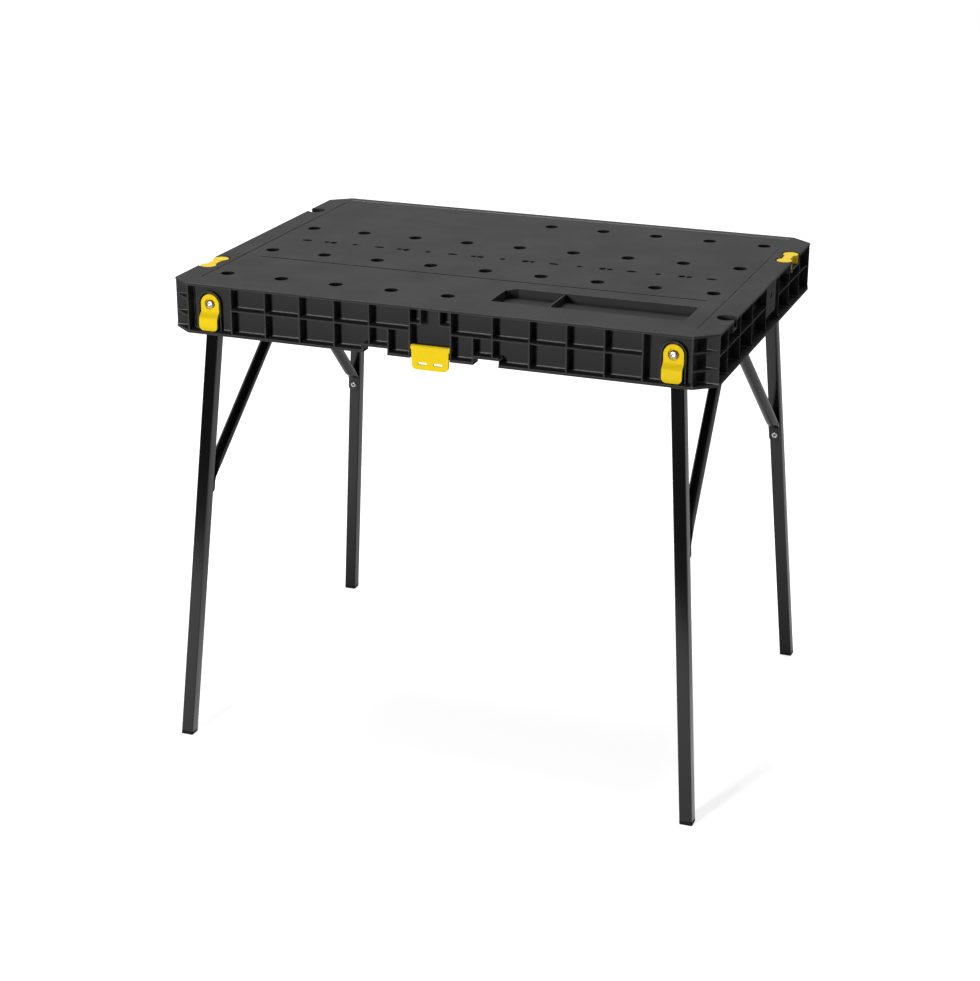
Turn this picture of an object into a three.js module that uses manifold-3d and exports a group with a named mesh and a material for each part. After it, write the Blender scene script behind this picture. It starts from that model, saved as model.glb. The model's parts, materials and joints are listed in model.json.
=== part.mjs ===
// Folding workbench: a moulded deck with a ribbed skirt on four splayed legs.
// Each leg and its brace turn as one stiff triangle about a tilted line, from the pivot bolt in the
// corner to the brace pin at the middle of the short side, and fold flat into the skirt.
// Units are millimetres, +Z is up, the origin is on the floor under the middle of the deck,
// X runs along the long sides and the front faces -Y.

import * as THREE from 'three';
import { mergeVertices } from 'three/addons/utils/BufferGeometryUtils.js';
import loadManifold from 'manifold-3d';

const manifold = await loadManifold();
manifold.setup();

// Deck
const DECK_WIDTH = 850;
const DECK_DEPTH = 613;
const DECK_HEIGHT = 745;
const SKIRT_HEIGHT = 78;
const CORNER_CUT_X = 32;
const CORNER_CUT_Y = 26;
const PLATE_THICKNESS = 4;
const PLATE_EDGE_BEVEL = 1.4;

// Skirt: a wall set back behind open cells, closed below by a flange
const CELL_DEPTH = 18.5;
const SKIRT_WALL = 2.7;
const FLANGE_THICKNESS = 4;
const RIB_THICKNESS = 2.2;
const RIB_SETBACK = 0.8;
const MID_RIB_DROP = 37;
const LONG_RIB_PITCH = 56;
const SHORT_RIB_PITCH = 70;
const SHORT_RIB_START = 83.5;
const SHORT_RIB_SETBACK = 3.5;
const SHORT_RIB_FLARE = 5;
const CENTRE_BAY_WIDTH = 64;
const CENTRE_POCKET_WIDTH = 17;
const CENTRE_POCKET_DROP = 25;
const NOTCH_WIDTH = 41;
const NOTCH_RISE = 10;
const NOTCH_GAP = 34;
const LATCH_BAY_WIDTH = 73;
const ARCH_RADIUS = 18.8;
const ARCH_WALL = 1.8;
const ARCH_HEIGHT = 6.5;
const ARCH_RAISE = 1.5;
const SIDE_PANEL_START = 4;
const SIDE_PANEL_WIDTH = 58;
const SIDE_PANEL_HEIGHT = 54;
const SIDE_PANEL_THICKNESS = 2.5;
const SIDE_SCREW_DROP = 25;
const SIDE_SCREW_ACCESS = 9;

// Work surface
const DOG_HOLE_DIAMETER = 20;
const DOG_COLUMN_PITCH = 90;
const DOG_ROW_PITCH = 156;
const DOG_EDGE_MARGIN = 60;
const DOG_SLEEVE_WALL = 2.2;
const DOG_SLEEVE_DEPTH = 3.5;
const GROOVE_OFFSET = 121;
const GROOVE_WIDTH = 7;
const GROOVE_DEPTH = 2.6;
const EDGE_LINE_INSET = 37;
const EDGE_LINE_MARGIN = 40;
const EDGE_LINE_WIDTH = 3;
const EDGE_LINE_DEPTH = 1;
const BAND_DROP = 0.6;
const BAND_RIM = 14;
const BAND_DEPTH = 105;
const BAND_JOG_INSET = 12;
const BAND_JOG_WIDTH = 42;
const TOOL_GROUP_PITCH = 126;
const TOOL_PAIR_OFFSET = 44;
const TOOL_SLOT_OFFSET = 84;
const TOOL_HOLE_DIAMETER = 6.5;
const TOOL_HOLE_LARGE = 10;
const TOOL_SLOT_LENGTH = 17;
const TRAY_START = 68;
const TRAY_LENGTH = 292;
const TRAY_WIDTH = 78;
const TRAY_EDGE_DISTANCE = 70;
const TRAY_DEPTH = 14;
const TRAY_WALL = 2.5;
const TRAY_SPLIT = 87;
const TRAY_CORNER_CUT = 15;
const UNDER_RIB_THICKNESS = 3;

// Legs, braces and their pivots
const LEG_SIZE = 20;
const LEG_WALL = 1.5;
const LEG_CORNER = 2;
const LEG_SPLAY_X = 0.076;
const LEG_SPLAY_Y = 0.074;
const LEG_TOP_REACH = 15;
const PIVOT_INSET_X = 63.4;
const PIVOT_DROP = 36.5;
const PIVOT_BOSS_DIAMETER = 22;
const PIVOT_BOSS_LENGTH = 3.5;
const BOLT_DIAMETER = 8;
const BOLT_HEAD_DIAMETER = 13;
const BOLT_HEAD_HEIGHT = 3;
const BOLT_HEAD_STANDOFF = 4.6;
const BOLT_SOCKET_DIAMETER = 5;
const BOLT_END_REACH = 2;
const WASHER_DIAMETER = 16;
const WASHER_THICKNESS = 1.8;
const NUT_ACROSS_FLATS = 13;
const NUT_HEIGHT = 6.5;
const SOLE_THICKNESS = 5;
const CAP_PLUG_LENGTH = 18;
const BRACE_DIAMETER = 19;
const BRACE_TAB_WIDTH = 21;
const BRACE_TAB_THICKNESS = 4;
const BRACE_TAB_LENGTH = 23;
const BRACE_TAB_END = 11;
const BRACE_TAPER = 34;
const BRACE_RIVET_HEIGHT = 415;
const BRACE_PIN_DROP = 64;
const BRACE_PIN_OFFSET = 24;
const BRACE_PIN_DIAMETER = 8;
const RIVET_DIAMETER = 6;
const RIVET_BORE = 3.4;
const RIVET_HEAD_DIAMETER = 9.6;
const RIVET_HEAD_HEIGHT = 2;
const BRACKET_THICKNESS = 3;
const BRACKET_EAR_WIDTH = 26;
const BRACKET_DROP = 13;
const BRACKET_REACH = 60;
const BRACKET_MARGIN = 12;
const SCREW_DIAMETER = 4.5;
const SCREW_HEAD_DIAMETER = 9;
const SCREW_HEAD_HEIGHT = 3;
const SCREW_BOSS_DIAMETER = 14;
const SCREW_BITE = 7;

// Yellow fittings
const LATCH_WIDTH = 30;
const LATCH_LENGTH = 54.6;
const LATCH_PLATE = 4.5;
const LATCH_TAB = 3.5;
const LATCH_TAB_OFFSET = 9;
const LATCH_JOG_START = 12;
const LATCH_JOG_LENGTH = 8.6;
const LATCH_CORNER = 7;
const LATCH_SEAT_DIAMETER = 17;
const LATCH_SEAT_DEPTH = 2.5;
const LATCH_BOLT_HOLE = 12.6;
const LATCH_PEG_DIAMETER = 7;
const LATCH_PEG_DROP = 24;
const LATCH_PEG_REACH = 3.6;
const LATCH_PEG_SWAY = 1.1;
const HASP_WIDTH = 58;
const HASP_LENGTH = 37;
const HASP_TOP_DROP = 57.5;
const HASP_THICKNESS = 3.2;
const HASP_BEAD_DIAMETER = 9;
const HASP_CORNER = 8;
const HASP_SLOT_LENGTH = 14;
const HASP_SLOT_WIDTH = 3.6;
const HASP_SLOT_SPACING = 24;
const HASP_SLOT_RISE = 9.5;
const HASP_PIN_DIAMETER = 4.2;
const HASP_SETBACK = 1;
const HASP_SWING_ROOM = 4;
const KEY_SEAT_INSET = 13.5;
const KEY_SEAT_Y = 198.5;
const KEY_LOBE_DIAMETER = 25;
const KEY_LOBE_SPACING = 43;
const KEY_WAIST = 14;
const KEY_THICKNESS = 14;
const KEY_TOP_SINK = 0.6;
const KEY_PEG_DIAMETER = 9;
const KEY_PEG_LENGTH = 16;
const POCKET_WALL = 2.5;
const POCKET_CLEARANCE = 1.5;
const POCKET_FLOOR = 3;

// Fits
const GAP = 0.3;
const OVERLAP = 1;
const ROUND_SEGMENTS = 12;
const SMALL_SEGMENTS = 8;

// Levels and lines that follow from the sizes above
const HALF_WIDTH = DECK_WIDTH / 2;
const HALF_DEPTH = DECK_DEPTH / 2;
const DECK_BOTTOM = DECK_HEIGHT - SKIRT_HEIGHT;
const PLATE_BOTTOM = DECK_HEIGHT - PLATE_THICKNESS;
const FLANGE_TOP = DECK_BOTTOM + FLANGE_THICKNESS;
const WALL_INSET = CELL_DEPTH + SKIRT_WALL;
const WALL_FACE_Y = HALF_DEPTH - CELL_DEPTH;
const WALL_BACK_Y = HALF_DEPTH - WALL_INSET;
const WALL_FACE_X = HALF_WIDTH - CELL_DEPTH;
const WALL_BACK_X = HALF_WIDTH - WALL_INSET;
const CORNER_X = HALF_WIDTH - CORNER_CUT_X;
const CORNER_Y = HALF_DEPTH - CORNER_CUT_Y;
const MID_RIB_Z = DECK_HEIGHT - MID_RIB_DROP;
const TRAY_FLOOR_Z = DECK_HEIGHT - TRAY_DEPTH;
const UNDERSIDE_Z = TRAY_FLOOR_Z - TRAY_WALL;
const CENTRE_BAY_X = CENTRE_BAY_WIDTH / 2;

const WASHER_START = LEG_SIZE / 2 + 2 * GAP;
const BOSS_START = WASHER_START + WASHER_THICKNESS + GAP;
const PIVOT_X = HALF_WIDTH - PIVOT_INSET_X;
const PIVOT_Y = WALL_BACK_Y - PIVOT_BOSS_LENGTH - BOSS_START;
const PIVOT_Z = DECK_HEIGHT - PIVOT_DROP;
const BRACE_PIN_Z = DECK_HEIGHT - BRACE_PIN_DROP;
const BRACE_PIN_X = PIVOT_X + LEG_SPLAY_X * (PIVOT_Z - BRACE_PIN_Z);
const LATCH_BAY_START = CORNER_X - LATCH_BAY_WIDTH;
const BRACKET_TOP_Z = DECK_HEIGHT - BRACKET_DROP;
const HASP_PIN_Z = DECK_HEIGHT - HASP_TOP_DROP - HASP_BEAD_DIAMETER / 2;
const HASP_PIN_Y = HALF_DEPTH - HASP_SETBACK - HASP_BEAD_DIAMETER / 2;
const KEY_SEAT_X = HALF_WIDTH - KEY_SEAT_INSET;
const KEY_TOP_Z = DECK_HEIGHT - KEY_TOP_SINK;
const POCKET_RADIUS = KEY_LOBE_DIAMETER / 2 + POCKET_CLEARANCE;
const POCKET_FLOOR_Z = KEY_TOP_Z - KEY_THICKNESS - GAP;
const SIDE_PANEL_MIDDLE = SIDE_PANEL_START + SIDE_PANEL_WIDTH / 2;
const SIDE_SCREW_Z = DECK_HEIGHT - SIDE_SCREW_DROP;

const RESIN = new THREE.MeshStandardMaterial({ color: 0x4a4b4c, roughness: 0.62, flatShading: true });
const PAINTED_STEEL = new THREE.MeshStandardMaterial({
  color: 0x1d1d1e, roughness: 0.38, metalness: 0.4, flatShading: true });
const BRIGHT_STEEL = new THREE.MeshStandardMaterial({
  color: 0xc9cacb, roughness: 0.3, metalness: 1, flatShading: true });
const YELLOW = new THREE.MeshStandardMaterial({ color: 0xf5d51c, roughness: 0.42, flatShading: true });
const RUBBER = new THREE.MeshStandardMaterial({ color: 0x131313, roughness: 0.8, flatShading: true });

// Solids

function solidOf(geometry) {
  const bare = geometry.clone();
  bare.deleteAttribute('normal');
  bare.deleteAttribute('uv');
  const merged = mergeVertices(bare);
  const corners = Array.from(merged.index.array);
  const kept = [];
  for (let i = 0; i < corners.length; i += 3) {
    const [a, b, c] = corners.slice(i, i + 3);
    if (a !== b && b !== c && c !== a) {
      kept.push(a, b, c);
    }
  }
  return new manifold.Manifold(new manifold.Mesh({
    numProp: 3,
    vertProperties: new Float32Array(merged.attributes.position.array),
    triVerts: new Uint32Array(kept),
  }));
}

function geometryOf(solid) {
  const mesh = solid.getMesh();
  const geometry = new THREE.BufferGeometry();
  geometry.setAttribute('position', new THREE.BufferAttribute(new Float32Array(mesh.vertProperties), 3));
  geometry.setIndex(new THREE.BufferAttribute(new Uint32Array(mesh.triVerts), 1));
  return geometry;
}

function union(geometries) {
  return geometries.map(solidOf).reduce((whole, piece) => whole.add(piece));
}

function carve(solids, cuts) {
  return geometryOf(union(solids).subtract(union(cuts)));
}

function common(geometries) {
  return geometryOf(geometries.map(solidOf).reduce((whole, piece) => whole.intersect(piece)));
}

function box(x0, x1, y0, y1, z0, z1) {
  const geometry = new THREE.BoxGeometry(x1 - x0, y1 - y0, z1 - z0);
  return geometry.translate((x0 + x1) / 2, (y0 + y1) / 2, (z0 + z1) / 2);
}

function halfTurned(geometry) {
  return geometry.clone().rotateZ(Math.PI);
}

// A box on the front side whose X range is given from the middle, for either end of the deck.
function sidedBox(side, x0, x1, y0, y1, z0, z1) {
  return side > 0 ? box(x0, x1, y0, y1, z0, z1) : box(-x1, -x0, y0, y1, z0, z1);
}

// A shape drawn in X and Y, extruded from z0 up to z1; each arc in it gets arcSegments sides.
function prism(shape, z0, z1, arcSegments = SMALL_SEGMENTS) {
  const options = { depth: z1 - z0, bevelEnabled: false, curveSegments: arcSegments / 2 };
  return new THREE.ExtrudeGeometry(shape, options).translate(0, 0, z0);
}

// A shape drawn in X and Z, extruded from y0 towards the front as far as y1.
function frontPrism(shape, y0, y1, arcSegments = SMALL_SEGMENTS) {
  return prism(shape, -y0, -y1, arcSegments).rotateX(Math.PI / 2);
}

function rod(diameter, from, to, segments = SMALL_SEGMENTS) {
  const line = new THREE.Vector3().subVectors(to, from);
  const radius = diameter / 2;
  const geometry = new THREE.CylinderGeometry(radius, radius, line.length(), segments);
  const turn = new THREE.Quaternion();
  turn.setFromUnitVectors(new THREE.Vector3(0, 1, 0), line.clone().normalize());
  return geometry.applyQuaternion(turn).translate(...from.clone().addScaledVector(line, 0.5));
}

// A round hole: its flats, not its corners, lie on the diameter, so that a pin of that size clears it.
function bore(diameter, from, to, segments = SMALL_SEGMENTS) {
  return rod(diameter / Math.cos(Math.PI / segments), from, to, segments);
}

function uprightBore(diameter, x, y, z0, z1, segments = SMALL_SEGMENTS) {
  return bore(diameter, new THREE.Vector3(x, y, z0), new THREE.Vector3(x, y, z1), segments);
}

function uprightRod(diameter, x, y, z0, z1, segments = SMALL_SEGMENTS) {
  return rod(diameter, new THREE.Vector3(x, y, z0), new THREE.Vector3(x, y, z1), segments);
}

// A profile of [radius, height] pairs turned about a line that starts at origin.
function turned(profile, origin, direction, segments = ROUND_SEGMENTS) {
  const points = profile.map(([radius, height]) => new THREE.Vector2(radius, height));
  const geometry = new THREE.LatheGeometry(points, segments);
  const turn = new THREE.Quaternion().setFromUnitVectors(new THREE.Vector3(0, 1, 0), direction);
  return geometry.applyQuaternion(turn).translate(...origin);
}

function along(origin, direction, distance) {
  return origin.clone().addScaledVector(direction, distance);
}

function placed(geometry, origin, xAxis, yAxis, zAxis) {
  const matrix = new THREE.Matrix4().makeBasis(xAxis, yAxis, zAxis).setPosition(origin);
  return geometry.clone().applyMatrix4(matrix);
}

function roundedSquare(size, corner) {
  const half = size / 2;
  const flat = half - corner;
  const shape = new THREE.Shape();
  shape.moveTo(-flat, -half);
  shape.lineTo(flat, -half);
  shape.absarc(flat, -flat, corner, -Math.PI / 2, 0);
  shape.lineTo(half, flat);
  shape.absarc(flat, flat, corner, 0, Math.PI / 2);
  shape.lineTo(-flat, half);
  shape.absarc(-flat, flat, corner, Math.PI / 2, Math.PI);
  shape.lineTo(-half, -flat);
  shape.absarc(-flat, -flat, corner, Math.PI, 1.5 * Math.PI);
  return shape;
}

// Deck outline with cut corners, moved inwards by inset on every side.
function deckOutline(inset) {
  const normal = new THREE.Vector2(CORNER_CUT_Y, CORNER_CUT_X).normalize();
  const reach = normal.x * CORNER_X + normal.y * HALF_DEPTH - inset;
  const x = HALF_WIDTH - inset;
  const y = HALF_DEPTH - inset;
  const cutX = (reach - normal.y * y) / normal.x;
  const cutY = (reach - normal.x * x) / normal.y;
  const shape = new THREE.Shape();
  shape.moveTo(cutX, -y);
  shape.lineTo(x, -cutY);
  shape.lineTo(x, cutY);
  shape.lineTo(cutX, y);
  shape.lineTo(-cutX, y);
  shape.lineTo(-x, cutY);
  shape.lineTo(-x, -cutY);
  shape.lineTo(-cutX, -y);
  return shape;
}

function deckRing(outerInset, innerInset, z0, z1) {
  const shape = deckOutline(outerInset);
  shape.holes.push(deckOutline(innerInset));
  return prism(shape, z0, z1);
}

// Corner lines: side is -1 at the left and 1 at the right, both on the front side. The line of a leg's
// hinge runs from pin to pivot; head is where it meets the underside of the bolt's head.

function cornerLines(side) {
  const pivot = new THREE.Vector3(side * PIVOT_X, -PIVOT_Y, PIVOT_Z);
  const pin = new THREE.Vector3(side * BRACE_PIN_X, -BRACE_PIN_OFFSET, BRACE_PIN_Z);
  const outward = new THREE.Vector3().subVectors(pivot, pin).normalize();
  const up = new THREE.Vector3(-side * LEG_SPLAY_X, LEG_SPLAY_Y, 1).normalize();
  const across = new THREE.Vector3(1, 0, 0).addScaledVector(up, -up.x).normalize();
  const inward = new THREE.Vector3().crossVectors(up, across);
  const pinAcross = new THREE.Vector3(1, 0, 0).addScaledVector(outward, -outward.x).normalize();
  const pinUp = new THREE.Vector3().crossVectors(outward, pinAcross);
  const head = along(pivot, outward, (WALL_FACE_Y + BOLT_HEAD_STANDOFF - PIVOT_Y) / -outward.y);
  return { pivot, pin, head, outward, up, across, inward, pinAcross, pinUp };
}

// Worktop

function plate() {
  const options = {
    depth: SKIRT_HEIGHT - 2 * PLATE_EDGE_BEVEL, bevelThickness: PLATE_EDGE_BEVEL, bevelSize: PLATE_EDGE_BEVEL,
    bevelOffset: -PLATE_EDGE_BEVEL, bevelSegments: 2,
  };
  const slab = new THREE.ExtrudeGeometry(deckOutline(0), options);
  slab.translate(0, 0, DECK_BOTTOM + PLATE_EDGE_BEVEL);
  return common([slab, box(-HALF_WIDTH, HALF_WIDTH, -HALF_DEPTH, HALF_DEPTH, PLATE_BOTTOM, DECK_HEIGHT)]);
}

function cornerRibs() {
  const blocks = [];
  for (const sideX of [-1, 1]) {
    for (const sideY of [-1, 1]) {
      const geometry = box(0, CORNER_CUT_X, 0, CORNER_CUT_Y, DECK_BOTTOM, DECK_HEIGHT);
      const x = sideX > 0 ? CORNER_X : -HALF_WIDTH;
      const y = sideY > 0 ? CORNER_Y : -HALF_DEPTH;
      blocks.push(geometry.translate(x, y, 0));
    }
  }
  const rings = [1, 2].map((third) => {
    const z = DECK_HEIGHT - third * SKIRT_HEIGHT / 3;
    return deckRing(RIB_SETBACK, WALL_INSET - OVERLAP, z - RIB_THICKNESS / 2, z + RIB_THICKNESS / 2);
  });
  return geometryOf(union(rings).intersect(union(blocks)));
}

function longRib(x, z0 = FLANGE_TOP - OVERLAP, z1 = PLATE_BOTTOM + OVERLAP) {
  const half = RIB_THICKNESS / 2;
  return box(x - half, x + half, -HALF_DEPTH + RIB_SETBACK, -WALL_FACE_Y + OVERLAP, z0, z1);
}

function longMidRib(x0, x1, z = MID_RIB_Z) {
  const half = RIB_THICKNESS / 2;
  return box(x0, x1, -HALF_DEPTH + RIB_SETBACK, -WALL_FACE_Y + OVERLAP, z - half, z + half);
}

// A rib of the right-hand short side; its foot flares out to the edge of the flange.
function shortRib(y, setback = SHORT_RIB_SETBACK) {
  const foot = FLANGE_TOP - OVERLAP;
  const top = PLATE_BOTTOM + OVERLAP;
  const back = WALL_FACE_X - OVERLAP;
  const tip = HALF_WIDTH - setback;
  const shape = new THREE.Shape();
  shape.moveTo(back, foot);
  shape.lineTo(HALF_WIDTH, foot);
  shape.lineTo(HALF_WIDTH, FLANGE_TOP);
  shape.lineTo(tip, FLANGE_TOP + SHORT_RIB_FLARE);
  shape.lineTo(tip, top);
  shape.lineTo(back, top);
  return frontPrism(shape, y + RIB_THICKNESS / 2, y - RIB_THICKNESS / 2);
}

function shortMidRib(y0, y1, z = MID_RIB_Z) {
  const half = RIB_THICKNESS / 2;
  return box(WALL_FACE_X - OVERLAP, HALF_WIDTH - SHORT_RIB_SETBACK, y0, y1, z - half, z + half);
}

// Rib lines along half of a long side, counted inwards from the latch bay.
function longRibLines() {
  const lines = [];
  for (let x = LATCH_BAY_START; x > CENTRE_BAY_X + LONG_RIB_PITCH / 2; x -= LONG_RIB_PITCH) {
    lines.push(x);
  }
  return lines;
}

function longSide() {
  const ribs = [];
  for (const side of [-1, 1]) {
    longRibLines().forEach((x) => ribs.push(longRib(side * x)));
    ribs.push(longRib(side * (CORNER_X - RIB_THICKNESS / 2)));
    ribs.push(longRib(side * CENTRE_BAY_X));
    ribs.push(sidedBoxRib(side, CENTRE_BAY_X, LATCH_BAY_START));
  }
  return ribs;
}

function sidedBoxRib(side, x0, x1) {
  return side > 0 ? longMidRib(x0, x1) : longMidRib(-x1, -x0);
}

// The short side at the right: open cells, and a flush panel beside the middle with a box round it.
function shortSide() {
  const panelEnd = SIDE_PANEL_START + SIDE_PANEL_WIDTH;
  const panelBottom = DECK_HEIGHT - SIDE_PANEL_HEIGHT;
  const back = WALL_FACE_X - OVERLAP;
  const face = HALF_WIDTH - SHORT_RIB_SETBACK;
  const roof = PLATE_BOTTOM + OVERLAP;
  const ribs = [
    shortRib(CORNER_Y - RIB_THICKNESS / 2, RIB_SETBACK),
    shortRib(-CORNER_Y + RIB_THICKNESS / 2, RIB_SETBACK),
    shortRib(SIDE_PANEL_START),
    box(back, face, panelEnd - RIB_THICKNESS, panelEnd, panelBottom, roof),
    box(face - SIDE_PANEL_THICKNESS, face, SIDE_PANEL_START, panelEnd, panelBottom, roof),
    shortMidRib(SIDE_PANEL_START, panelEnd, panelBottom + RIB_THICKNESS / 2),
    shortMidRib(-CORNER_Y, SIDE_PANEL_START),
    shortMidRib(SHORT_RIB_START, CORNER_Y),
  ];
  for (let y = SHORT_RIB_START; y < CORNER_Y - SHORT_RIB_PITCH / 2; y += SHORT_RIB_PITCH) {
    ribs.push(shortRib(y), shortRib(-y));
  }
  return ribs;
}

// The middle of the front: a bay for the hasp with two small pockets above it, and a notch on each side.
function haspBayRibs() {
  const ribs = [];
  const pocketZ = DECK_HEIGHT - CENTRE_POCKET_DROP;
  const pocketX = CENTRE_BAY_X - CENTRE_POCKET_WIDTH;
  for (const side of [-1, 1]) {
    ribs.push(longRib(side * pocketX, pocketZ - RIB_THICKNESS / 2));
    const pocketEnds = side > 0 ? [pocketX, CENTRE_BAY_X] : [-CENTRE_BAY_X, -pocketX];
    ribs.push(longMidRib(...pocketEnds, pocketZ));
    ribs.push(longRib(side * notchStart(), FLANGE_TOP - OVERLAP, MID_RIB_Z));
    const notchEnds = [notchStart(), notchStart() + NOTCH_WIDTH];
    const roof = DECK_BOTTOM + NOTCH_RISE;
    ribs.push(sidedBox(side, ...notchEnds, -HALF_DEPTH, -WALL_FACE_Y + OVERLAP,
      roof, roof + FLANGE_THICKNESS));
  }
  return ribs;
}

function notchStart() {
  return CENTRE_BAY_X + NOTCH_GAP;
}

function haspBayCuts() {
  const innerX = CENTRE_BAY_X - RIB_THICKNESS / 2;
  const swingY = HASP_PIN_Y - HASP_SWING_ROOM;
  const pinHole = HASP_PIN_DIAMETER + 2 * GAP;
  const pinEnd = new THREE.Vector3(CENTRE_BAY_X + RIB_THICKNESS, -HASP_PIN_Y, HASP_PIN_Z);
  const pinStart = pinEnd.clone().setX(-pinEnd.x);
  const cuts = [
    box(-innerX, innerX, -HALF_DEPTH - OVERLAP, -swingY, DECK_BOTTOM - OVERLAP, FLANGE_TOP + OVERLAP),
    bore(pinHole, pinStart, pinEnd),
  ];
  const notchEnds = [notchStart() + RIB_THICKNESS / 2, notchStart() + NOTCH_WIDTH - RIB_THICKNESS / 2];
  for (const side of [-1, 1]) {
    cuts.push(sidedBox(side, ...notchEnds, -HALF_DEPTH - OVERLAP, -WALL_BACK_Y + OVERLAP,
      DECK_BOTTOM - OVERLAP, DECK_BOTTOM + NOTCH_RISE));
  }
  return cuts;
}

// The arched wall round a latch, open below, and the boss for the pivot bolt behind the skirt wall.
function latchBay(side) {
  const lines = cornerLines(side);
  const centreZ = lines.head.z + ARCH_RAISE;
  const foot = FLANGE_TOP - OVERLAP - centreZ;
  const inner = ARCH_RADIUS - ARCH_WALL;
  const shape = new THREE.Shape();
  shape.moveTo(-ARCH_RADIUS, foot);
  shape.lineTo(-inner, foot);
  shape.lineTo(-inner, 0);
  shape.absarc(0, 0, inner, Math.PI, 0, true);
  shape.lineTo(inner, foot);
  shape.lineTo(ARCH_RADIUS, foot);
  shape.lineTo(ARCH_RADIUS, 0);
  shape.absarc(0, 0, ARCH_RADIUS, 0, Math.PI);
  const arch = frontPrism(shape, -WALL_FACE_Y + OVERLAP, -WALL_FACE_Y - ARCH_HEIGHT, ROUND_SEGMENTS);
  arch.translate(lines.head.x, 0, centreZ);
  const bossEnd = BOSS_START + PIVOT_BOSS_LENGTH + OVERLAP;
  const boss = rod(PIVOT_BOSS_DIAMETER, along(lines.pivot, lines.outward, BOSS_START),
    along(lines.pivot, lines.outward, bossEnd), ROUND_SEGMENTS);
  return [arch, boss];
}

function latchBayCuts(side) {
  const lines = cornerLines(side);
  const boltHole = bore(BOLT_DIAMETER + 2 * GAP, lines.pivot, lines.head);
  const pegHole = LATCH_PEG_DIAMETER + 2 * (GAP + LATCH_PEG_SWAY);
  const pegZ = lines.head.z - LATCH_PEG_DROP;
  const pegCut = bore(pegHole, new THREE.Vector3(lines.head.x, -WALL_BACK_Y + OVERLAP, pegZ),
    new THREE.Vector3(lines.head.x, -WALL_FACE_Y - OVERLAP, pegZ));
  return [boltHole, pegCut];
}

function circle(x, y, radius) {
  const shape = new THREE.Shape();
  shape.absarc(x, y, radius, 0, 2 * Math.PI);
  return shape;
}

// Plan of a link pocket at the right end: a round seat with a mouth in the edge. The storing pocket
// holds both lobes of the key and is open to the edge along its whole length.
function pocketPlans(y, stored, grow) {
  const radius = POCKET_RADIUS + grow;
  const mouth = KEY_WAIST / 2 + POCKET_CLEARANCE + grow;
  const edge = HALF_WIDTH + OVERLAP;
  if (!stored) {
    return [circle(KEY_SEAT_X, y, radius), rectangle(KEY_SEAT_X, edge, y - mouth, y + mouth)];
  }
  const farY = y - KEY_LOBE_SPACING;
  return [
    circle(KEY_SEAT_X, y, radius),
    circle(KEY_SEAT_X, farY, radius),
    rectangle(KEY_SEAT_X - mouth, edge, farY, y),
  ];
}

function rectangle(x0, x1, y0, y1) {
  const shape = new THREE.Shape();
  shape.moveTo(x0, y0);
  shape.lineTo(x1, y0);
  shape.lineTo(x1, y1);
  shape.lineTo(x0, y1);
  return shape;
}

// Link pockets at the right end: the key is stored at the rear, the empty seat is at the front.
const POCKETS = [{ y: KEY_SEAT_Y, stored: true }, { y: -KEY_SEAT_Y, stored: false }];

function pocketWalls() {
  const inside = prism(deckOutline(RIB_SETBACK), POCKET_FLOOR_Z - POCKET_FLOOR, PLATE_BOTTOM + OVERLAP);
  const walls = POCKETS.flatMap(({ y, stored }) => pocketPlans(y, stored, POCKET_WALL)
    .map((plan) => prism(plan, POCKET_FLOOR_Z - POCKET_FLOOR, PLATE_BOTTOM + OVERLAP, ROUND_SEGMENTS)));
  return geometryOf(union(walls).intersect(solidOf(inside)));
}

function pocketCuts() {
  const cuts = POCKETS.flatMap(({ y, stored }) => pocketPlans(y, stored, 0)
    .map((plan) => prism(plan, POCKET_FLOOR_Z, DECK_HEIGHT + OVERLAP, ROUND_SEGMENTS)));
  const pegHole = KEY_PEG_DIAMETER + 2 * GAP;
  const below = POCKET_FLOOR_Z - POCKET_FLOOR - OVERLAP;
  cuts.push(uprightBore(pegHole, KEY_SEAT_X, KEY_SEAT_Y, below, POCKET_FLOOR_Z + OVERLAP));
  return cuts;
}

// Places of the bench dog holes: full rows in the middle, half rows beside the tray and opposite to it.
function dogHolePlaces() {
  const columns = Math.floor((HALF_WIDTH - DOG_EDGE_MARGIN) / DOG_COLUMN_PITCH);
  const rows = [
    { y: -1.5 * DOG_ROW_PITCH, first: -columns, last: 0 },
    { y: -0.5 * DOG_ROW_PITCH, first: -columns, last: columns },
    { y: 0.5 * DOG_ROW_PITCH, first: -columns, last: columns },
    { y: 1.5 * DOG_ROW_PITCH, first: 0, last: columns },
  ];
  const places = [];
  for (const { y, first, last } of rows) {
    for (let column = first; column <= last; column += 1) {
      places.push({ x: column * DOG_COLUMN_PITCH, y });
    }
  }
  return places;
}

// Each hole is lengthened by a short sleeve under the plate.
function dogSleeves() {
  const diameter = DOG_HOLE_DIAMETER + 2 * DOG_SLEEVE_WALL;
  return dogHolePlaces().map(({ x, y }) => uprightRod(diameter, x, y,
    PLATE_BOTTOM - DOG_SLEEVE_DEPTH, PLATE_BOTTOM + OVERLAP, ROUND_SEGMENTS));
}

function dogHoles() {
  return dogHolePlaces().map(({ x, y }) => uprightBore(DOG_HOLE_DIAMETER, x, y,
    UNDERSIDE_Z - OVERLAP, DECK_HEIGHT + OVERLAP, ROUND_SEGMENTS));
}

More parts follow.
